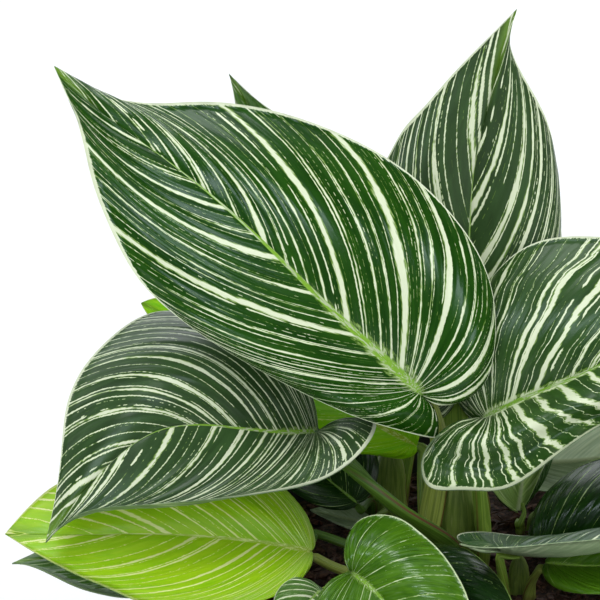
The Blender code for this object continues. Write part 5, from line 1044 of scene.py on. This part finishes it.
def make_mix():
    m = Nodes("mix_coir")
    co = m.new("ShaderNodeTexCoord").outputs["Object"]
    big = m.noise(co, 120.0, 4.0, 0.65)
    grit = m.noise(co, 620.0, 4.0, 0.7)
    hair = m.noise(co, 300.0, 3.0, 0.7, 2.5)
    c = m.ramp(grit, [(0.30, (0.010, 0.005, 0.003)), (0.48, (0.055, 0.022, 0.012)), (0.62, (0.15, 0.062, 0.032)), (0.80, (0.30, 0.16, 0.085))])
    c = m.mix(m.step(big, 0.42, 0.60, 0.55, 0.0), c, (0.012, 0.006, 0.004))
    c = m.mix(m.step(hair, 0.60, 0.66, 0.0, 0.6), c, (0.24, 0.11, 0.055))
    mat = m.finish(c, 0.9, m.bump(grit, 0.9, 0.0012))
    rr = wall_r(SOIL_Z) - POT_WALL - 0.0012
    n_r, n_a = 60, 168
    r_ = np.random.default_rng(5)
    bumps = [(r_.uniform(-rr, rr), r_.uniform(-rr, rr), r_.uniform(0.0012, 0.0042), r_.uniform(-0.0010, 0.0013)) for _ in range(650)]
    bx = np.array(bumps)
    verts, faces = [], []
    for i in range(n_r):
        r = rr * (i + 0.5) / n_r
        for j in range(n_a):
            a = 2 * math.pi * j / n_a
            verts.append((r * math.cos(a), r * math.sin(a), 0.0))
    v = np.array(verts)
    d2 = (v[:, None, 0] - bx[None, :, 0]) ** 2 + (v[:, None, 1] - bx[None, :, 1]) ** 2
    zz = (bx[None, :, 3] * np.exp(-d2 / bx[None, :, 2] ** 2)).sum(1)
    rad = np.hypot(v[:, 0], v[:, 1])
    v[:, 2] = SOIL_Z - 0.0010 + np.clip(zz, -0.0018, 0.0016) - 0.0024 * np.clip((rad - 0.045) / 0.02, 0, 1) ** 2
    v = np.vstack([v, [(0, 0, SOIL_Z - 0.001)]])
    for i in range(n_r - 1):
        for j in range(n_a):
            a, b = i * n_a + j, i * n_a + (j + 1) % n_a
            faces.append((a, a + n_a, b + n_a, b))
    for j in range(n_a):
        faces.append((len(v) - 1, j, (j + 1) % n_a))
    # a skirt down to the pot's floor closes the body
    rim = [(n_r - 1) * n_a + j for j in range(n_a)]
    z_low = POT_FLOOR + 0.0008
    low_r = wall_r(z_low) - POT_WALL - 0.0045
    k0 = len(v)
    ring = [(low_r * math.cos(2 * math.pi * j / n_a), low_r * math.sin(2 * math.pi * j / n_a), z_low) for j in range(n_a)]
    v = np.vstack([v, ring, [(0, 0, z_low)]])
    for j in range(n_a):
        b = (j + 1) % n_a
        faces.append((rim[j], k0 + j, k0 + b, rim[b]))
        faces.append((len(v) - 1, k0 + b, k0 + j))
    ob = mesh_object("mix_surface", v, faces, [mat])
    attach(ob, "root")
    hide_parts("potting_mix")
    # bark chips and fibres lying in the mix
    m2 = Nodes("mix_bark")
    co = m2.new("ShaderNodeTexCoord").outputs["Object"]
    g2 = m2.noise(co, 380.0, 4.0, 0.7, 1.0)
    b2 = m2.noise(co, 90.0, 2.0)
    c = m2.ramp(g2, [(0.32, (0.022, 0.009, 0.005)), (0.50, (0.095, 0.036, 0.019)), (0.68, (0.23, 0.10, 0.05)), (0.85, (0.40, 0.22, 0.12))])
    c = m2.mix(m2.step(b2, 0.45, 0.62, 0.5, 0.0), c, (0.020, 0.010, 0.007))
    mat2 = m2.finish(c, 0.82, m2.bump(g2, 0.8, 0.0008))
    vs, fs = [], []
    r_ = np.random.default_rng(17)

    def chip(x, y, z, l, w, t, yaw, pitch, roll):
        cy, sy, cp, sp, cr, sr = math.cos(yaw), math.sin(yaw), math.cos(pitch), math.sin(pitch), math.cos(roll), math.sin(roll)
        rz = np.array([[cy, -sy, 0], [sy, cy, 0], [0, 0, 1]])
        ry = np.array([[cp, 0, sp], [0, 1, 0], [-sp, 0, cp]])
        rx = np.array([[1, 0, 0], [0, cr, -sr], [0, sr, cr]])
        rot = rz @ ry @ rx
        k = 6
        top = []
        for i in range(k):
            a = 2 * math.pi * i / k
            q = r_.uniform(0.7, 1.1)
            top.append((l * math.cos(a) * q, w * math.sin(a) * q, t * r_.uniform(0.6, 1.2)))
        low = [(px * 0.9, py * 0.9, -t) for px, py, _ in top]
        b = len(vs)
        for q in top + low + [(0, 0, t * 1.3), (0, 0, -t)]:
            vs.append(rot @ np.array(q) + np.array((x, y, z)))
        for i in range(k):
            j = (i + 1) % k
            fs.append((b + i, b + k + i, b + k + j, b + j))
            fs.append((b + 2 * k, b + i, b + j))
            fs.append((b + 2 * k + 1, b + k + j, b + k + i))

    for _ in range(560):
        a, r = r_.uniform(0, 2 * math.pi), (rr - 0.004) * math.sqrt(r_.uniform(0, 1))
        l = r_.uniform(0.0010, 0.0036)
        chip(r * math.cos(a), r * math.sin(a), SOIL_Z - 0.0006 + r_.uniform(-0.0004, 0.0010) - 0.0024 * max(0, (r - 0.045) / 0.02) ** 2, l, l * r_.uniform(0.35, 0.8),
             l * r_.uniform(0.12, 0.30), r_.uniform(0, 6.28), r_.uniform(-0.5, 0.5), r_.uniform(-0.5, 0.5))
    for _ in range(260):
        a, r = r_.uniform(0, 2 * math.pi), (rr - 0.010) * math.sqrt(r_.uniform(0, 1))
        l = r_.uniform(0.003, 0.0075)
        chip(r * math.cos(a), r * math.sin(a), SOIL_Z + r_.uniform(0.0000, 0.0012), l, 0.00022, 0.00018, r_.uniform(0, 6.28), r_.uniform(-0.25, 0.25), 0.0)
    ob2 = mesh_object("mix_bark", vs, fs, [mat2], smooth_faces=False)
    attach(ob2, "root")
    return ob


# ---------------------------------------------------------------- the plant
def make_shoots():
    mat = stalk_material("shoot_skin", 3, (0.13, 0.21, 0.030), (0.24, 0.34, 0.06), (0.36, 0.42, 0.13), rust=0.9)
    for name, (x, y, r, h) in SHOOTS.items():
        lift_ = {"stem_main": 0.009, "stem_back_left": 0.014}.get(name, 0.0)
        broad = {"stem_main": 1.45, "stem_back_left": 1.6}.get(name, 1.0)
        n, rings = 28, 22
        verts, loops, faces = [], [], []
        for i in range(rings):
            t = i / (rings - 1)
            z = SOIL_Z - 0.0012 + (h + 0.0020 + lift_) * t
            node_ring = 1 + 0.07 * math.exp(-(((t * 3.0) % 1.0 - 0.5) / 0.10) ** 2)
            rr = r * 1.12 * (1 - 0.35 * t) * node_ring * max(0.0, 1 - max(0.0, (t - 0.62) / 0.38) ** 1.8) + 1e-5
            for j in range(n):
                a = 2 * math.pi * j / n
                q = rr * (1 + 0.02 * math.cos(5 * a))
                verts.append((x + q * broad * math.cos(a), y + q * math.sin(a), z))
        for i in range(rings - 1):
            for j in range(n):
                a, b = i * n + j, i * n + (j + 1) % n
                faces.append((a, b, b + n, a + n))
                loops += [(j / n, i / rings), ((j + 1) / n, i / rings), ((j + 1) / n, (i + 1) / rings), (j / n, (i + 1) / rings)]
        verts += [(x, y, SOIL_Z - 0.0012), (x, y, verts[-1][2])]
        for j in range(n):
            b = (j + 1) % n
            faces.append((len(verts) - 2, b, j))
            faces.append((len(verts) - 1, (rings - 1) * n + j, (rings - 1) * n + b))
            loops += [(0.5, 0), ((j + 1) / n, 0), (j / n, 0), (0.5, 1), (j / n, 1), ((j + 1) / n, 1)]
        ob = mesh_object("shoot_" + name[5:], verts, faces, [mat], None, {"vein": np.array(loops)})
        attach(ob, "root")
        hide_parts(name)


S = {  # bold stripes: (side vein it follows, half width, strength)
    "front_l": [(.08, .004, .8), (.14, .004, .8), (.19, .003, .7), (.24, .005, .9), (.29, .003, .7), (.34, .004, .8), (.385, .003, .7), (.425, .005, .9),
                (.47, .003, .7), (.51, .004, .8), (.56, .003, .7), (.612, .008, 1), (.655, .003, .7), (.70, .0035, .8), (.76, .007, 1), (.80, .003, .7),
                (.845, .0045, .9), (.885, .003, .7), (.93, .004, .8)],
    "front_r": [(.05, .007, .9), (.10, .009, 1), (.155, .010, 1), (.225, .009, 1), (.275, .004, .8), (.315, .004, .8), (.345, .003, .7), (.385, .0075, 1),
                (.42, .003, .7), (.445, .0035, .8), (.488, .0095, 1), (.53, .003, .7), (.56, .0035, .8), (.595, .003, .7), (.635, .008, 1), (.68, .003, .8),
                (.715, .0035, .7), (.75, .003, .7), (.785, .006, 1), (.83, .003, .7), (.87, .004, .8), (.92, .003, .7)],
}


def make_plant():
    under = under_material("leaf_under", 2)
    L = {}
    L["large_front"] = leaf_material("leaf_front_striped", 1, S["front_l"], S["front_r"], bold=0.92, medium=0.66, fine=0.70, patch=0.5, rough=0.27, wide=0.16, thin=0.66, gloss=0.34, rim=(0.970, 0.978))
    L["upright_back"] = leaf_material("leaf_upright_striped", 2, random_stripes(21, 20, s0=.75, w0=.0026, w1=.0062), random_stripes(22, 20, s0=.75, w0=.0026, w1=.0062), medium=0.74, fine=0.62, rough=0.36, thin=0.85, spine=0.9, lines=48, wide=0.15,
                                      dark=(0.022, 0.052, 0.013), mid=(0.040, 0.095, 0.024))
    L["right_large"] = leaf_material("leaf_right_striped", 3, random_stripes(31, 18, s0=.7, w0=.003, w1=.009), random_stripes(32, 20, s0=.75, w0=.004, w1=.010), medium=0.62, fine=0.62, rim=(0.982, 0.962), wave=0.040, flank=0.75, spine=0.8, thin=0.75,
                                     dark=(0.014, 0.055, 0.004), mid=(0.028, 0.088, 0.010))
    L["left_curled"] = leaf_material("leaf_left_striped", 4, random_stripes(41, 18, s0=.7, w0=.0026, w1=.0050), random_stripes(42, 18, s0=.75, w0=.0028, w1=.0048), medium=0.60, fine=0.60, rough=0.34, rim=(0.942, 0.984), margin=0.9, lines=46, wide=0.15, spine=0.5, thin=0.85,
                                     dark=(0.020, 0.052, 0.012), mid=(0.036, 0.090, 0.022), cream=(0.66, 0.72, 0.52))
    lime = dict(dark=(0.25, 0.54, 0.003), mid=(0.37, 0.62, 0.010), lime=(0.50, 0.66, 0.07), cream=(0.74, 0.83, 0.34), margin=0.55, patch=0.7, rib=(0.36, 0.55, 0.03), flank=0.2, lines=34, wide=0.09)
    L["lime_low"] = leaf_material("leaf_lime_low", 5, random_stripes(51, 17, s0=.75, s1=.95, w0=.0026, w1=.0048), random_stripes(52, 15, s0=.75, s1=.95, w0=.0024, w1=.0042), medium=0.95, thin=0.78, fine=0.40, rough=0.36, **lime)
    # colours for the pale leaf behind: partly its own pale lime green, partly painted light, the high base brightness
    # standing in for daylight shining through this shaded leaf
    lime_with_painted_glow = dict(lime, dark=(0.18, 0.54, 0.001), mid=(0.33, 0.66, 0.003), gloss=0.15)
    L["pale_behind"] = leaf_material("leaf_pale_behind", 6, random_stripes(61, 6, s0=.3, s1=.55), random_stripes(62, 6, s0=.3, s1=.55), medium=0.10, fine=0.42, rough=0.5, **lime_with_painted_glow)
    dark = dict(dark=(0.006, 0.030, 0.002), mid=(0.014, 0.062, 0.004), cream=(0.45, 0.55, 0.28), margin=0.5, flank=0.45)
    L["dark_low"] = leaf_material("leaf_dark_low", 7, random_stripes(71, 7, s0=.3, s1=.8), random_stripes(72, 7, s0=.3, s1=.8), medium=0.48, fine=0.5, dark=(0.03, 0.10, 0.008), mid=(0.07, 0.19, 0.015), cream=(0.4, 0.52, 0.2), margin=0.5)
    L["glossy_front"] = leaf_material("leaf_glossy_front", 8, random_stripes(81, 10, s0=.6, s1=.8, w0=.0026, w1=.005), random_stripes(82, 10, s0=.6, s1=.8, w0=.0026, w1=.005), medium=0.10, fine=0.30, rough=0.20, lines=22, wide=0.07, relief=0.6, gloss=0.55,
                                      dark=(0.034, 0.115, 0.003), mid=(0.078, 0.205, 0.007), cream=(0.56, 0.68, 0.38), margin=0.6)
    L["dark_front"] = leaf_material("leaf_dark_front", 9, random_stripes(91, 4, s0=.3, s1=.5), random_stripes(92, 4, s0=.3, s1=.5), medium=-0.10, fine=0.30, rough=0.26, lines=24, wide=0.06, bold=0.5, **dict(dark, dark=(0.004, 0.018, 0.003), mid=(0.008, 0.032, 0.004)))
    L["edge_on"] = leaf_material("leaf_edge_on", 10, random_stripes(101, 10, s0=.4, s1=.8), random_stripes(102, 10, s0=.4, s1=.8), medium=0.45, fine=0.45, dark=(0.02, 0.07, 0.02), mid=(0.04, 0.11, 0.03))
    L["dark_right"] = leaf_material("leaf_dark_right", 11, random_stripes(111, 9, s0=.35, s1=.7, w0=.0026, w1=.0045), random_stripes(112, 9, s0=.5, s1=.8, w0=.0026, w1=.0045), medium=0.15, fine=0.30, lines=24, wide=0.07, rough=0.26, **dark)
    L["low_right"] = leaf_material("leaf_low_right", 12, random_stripes(121, 5, s0=.3, s1=.7), random_stripes(122, 5, s0=.3, s1=.7), medium=0.0, fine=0.3, lines=26, wide=0.08, dark=(0.05, 0.15, 0.003), mid=(0.09, 0.22, 0.006), cream=(0.35, 0.5, 0.16), margin=0.4)
    L["tall_behind"] = leaf_material("leaf_tall_behind", 13, random_stripes(131, 12, s0=.5), random_stripes(132, 12, s0=.5), medium=0.52, fine=0.5, dark=(0.03, 0.10, 0.008), mid=(0.08, 0.22, 0.02))
    L["shaded_left"] = leaf_material("leaf_shaded_left", 14, random_stripes(141, 7, s0=.4, s1=.8), random_stripes(142, 7, s0=.4, s1=.8), medium=0.10, fine=0.3, lines=26, wide=0.08, **dark)
    L["pale_underside"] = leaf_material("leaf_pale_upright", 15, random_stripes(151, 7), random_stripes(152, 7), medium=0.45, fine=0.4)
    L["grey_right"] = leaf_material("leaf_grey_right", 16, random_stripes(161, 7), random_stripes(162, 7), medium=0.45, fine=0.4)
    L["small_striped"] = leaf_material("leaf_small_striped", 17, random_stripes(171, 9, w0=.008, w1=.016), random_stripes(172, 9, w0=.008, w1=.016), medium=0.5, fine=0.4, dark=(0.05, 0.14, 0.02), mid=(0.10, 0.22, 0.04))
    L["small_grey"] = leaf_material("leaf_small_grey", 18, random_stripes(181, 5), random_stripes(182, 5), medium=0.45, fine=0.4)
    L["rear_left"] = leaf_material("leaf_rear_left", 19, random_stripes(191, 13), random_stripes(192, 13), medium=0.55, fine=0.52)
    L["rear"] = leaf_material("leaf_rear", 20, random_stripes(201, 14), random_stripes(202, 14), medium=0.57, fine=0.54)
    pale_u = under_material("leaf_under_pale", 31, (0.20, 0.32, 0.08), (0.32, 0.46, 0.13), (0.45, 0.56, 0.24))
    grey_u = under_material("leaf_under_grey", 32, (0.22, 0.31, 0.16), (0.32, 0.41, 0.23), (0.46, 0.54, 0.34))
    lime_u = under_material("leaf_under_lime", 33, (0.16, 0.28, 0.05), (0.26, 0.40, 0.09), (0.36, 0.48, 0.16))
    unders = {"pale_underside": pale_u, "grey_right": grey_u, "edge_on": grey_u, "small_grey": grey_u, "lime_low": lime_u, "pale_behind": lime_u}
    heroes = ("large_front", "upright_back", "right_large", "left_curled")
    for node in BLADES:
        key = node[6:]
        hero = key in heroes
        leaf("leaf_" + key, node, [L[key], unders.get(key, under)],
             nu=120 if hero else 72, nh=24 if hero else 15, rib=0.0010 if hero else 0.0005, quilt=0.00018 if hero else 0.00010)
    green = stalk_material("stalk_green", 1, (0.12, 0.24, 0.018), (0.27, 0.42, 0.05), (0.40, 0.50, 0.14))
    yellow = stalk_material("stalk_yellow", 2, (0.20, 0.27, 0.04), (0.36, 0.44, 0.08), (0.48, 0.54, 0.18), rust=0.7)
    darkg = stalk_material("stalk_dark", 4, (0.045, 0.130, 0.008), (0.11, 0.23, 0.018), (0.24, 0.38, 0.07), rust=0.9)
    pick = {"large_front": yellow, "left_curled": darkg, "low_right": yellow, "small_striped": yellow, "lime_low": yellow, "dark_low": darkg, "shaded_left": darkg}
    for key in STALKS:
        stalk("petiole_" + key, key, pick.get(key, green), fat=1.75 if key == "upright_back" else 1.0)


# ---------------------------------------------------------------- light, floor and camera
def area(name, place, target, size, power, colour=(1, 1, 1), shiny=True):
    li = bpy.data.lights.new(name, "AREA")
    li.shape, li.size, li.size_y = "RECTANGLE", size[0], size[1]
    li.energy, li.color = power, colour
    ob = bpy.data.objects.new(name, li)
    bpy.context.scene.collection.objects.link(ob)
    ob.location = place
    ob.visible_glossy = shiny
    ob.rotation_mode = "QUATERNION"
    ob.rotation_quaternion = (Vector(target) - Vector(place)).to_track_quat("-Z", "Y")
    return ob


def make_stage():
    m = Nodes("floor_pale")
    co = m.new("ShaderNodeTexCoord").outputs["Object"]
    c = m.mix(m.noise(co, 3.0, 2.0), (0.90, 0.90, 0.905), (0.93, 0.93, 0.935))
    mat = m.finish(c, 0.9)
    me = bpy.data.meshes.new("floor")
    me.from_pydata([(-6, -4, 0), (6, -4, 0), (6, 8, 0), (-6, 8, 0)], [], [(0, 1, 2, 3)])
    me.materials.append(mat)
    fl = bpy.data.objects.new("floor", me)
    bpy.context.scene.collection.objects.link(fl)
    sc = bpy.context.scene
    wd = bpy.data.worlds.new("sky")
    sc.world = wd
    wd.use_nodes = True
    t = wd.node_tree
    bg = t.nodes["Background"]
    co = t.nodes.new("ShaderNodeTexCoord")
    sep = t.nodes.new("ShaderNodeSeparateXYZ")
    t.links.new(co.outputs["Generated"], sep.inputs[0])
    mr = t.nodes.new("ShaderNodeMapRange")
    mr.interpolation_type = "SMOOTHSTEP"
    t.links.new(sep.outputs[1], mr.inputs["Value"])
    mr.inputs["From Min"].default_value, mr.inputs["From Max"].default_value = -0.10, 0.95
    mr.inputs["To Min"].default_value, mr.inputs["To Max"].default_value = 0.02, 0.80
    lp = t.nodes.new("ShaderNodeLightPath")
    mx = t.nodes.new("ShaderNodeMix")
    mx.data_type = "FLOAT"
    t.links.new(lp.outputs["Is Glossy Ray"], mx.inputs[0])
    t.links.new(mr.outputs["Result"], mx.inputs[3])
    mx.inputs[2].default_value = 0.80
    mx2 = t.nodes.new("ShaderNodeMix")
    mx2.data_type = "FLOAT"
    t.links.new(lp.outputs["Is Camera Ray"], mx2.inputs[0])
    t.links.new(mx.outputs[0], mx2.inputs[2])
    mx2.inputs[3].default_value = 1.05
    t.links.new(mx2.outputs[0], bg.inputs[1])
    bg.inputs[0].default_value = (0.93, 0.97, 1.0, 1.0)
    area("key", (-0.45, -0.55, 1.8), (0.0, 0.0, 0.16), (1.0, 1.0), 13.5, (1.0, 0.995, 0.98), False)
    area("front_strip", (-0.24, -0.76, 0.94), (-0.06, -0.02, 0.20), (0.70, 0.20), 4.2, (0.78, 0.88, 1.0)).visible_diffuse = False
    area("top_patch", (-0.13, 0.14, 1.28), (0.0, -0.04, 0.12), (0.40, 0.34), 3.0, (0.95, 0.98, 1.0)).visible_diffuse = False
    area("window", (0.2, 1.5, 1.1), (0.0, 0.0, 0.17), (1.6, 0.9), 8.0, (0.92, 0.97, 1.0))
    area("fill", (1.2, -0.9, 0.8), (0.0, 0.0, 0.14), (0.8, 0.8), 3.0, (1.0, 0.985, 0.96), False)
    sc.view_settings.view_transform = "Standard"
    cam = bpy.data.cameras.new("camera")
    cam.sensor_width, cam.lens = 36.0, 36.0 * REACH / (600 * GAUGE)
    cam.clip_start, cam.clip_end = 0.05, 30.0
    ob = bpy.data.objects.new("camera", cam)
    sc.collection.objects.link(ob)
    ob.location = Vector(AIM - EYE_F * REACH)
    ob.rotation_mode = "QUATERNION"
    ob.rotation_quaternion = Vector(EYE_F).to_track_quat("-Z", "Y")
    sc.camera = ob


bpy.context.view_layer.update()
make_stage()
make_pot()
make_mix()
make_shoots()
make_plant()
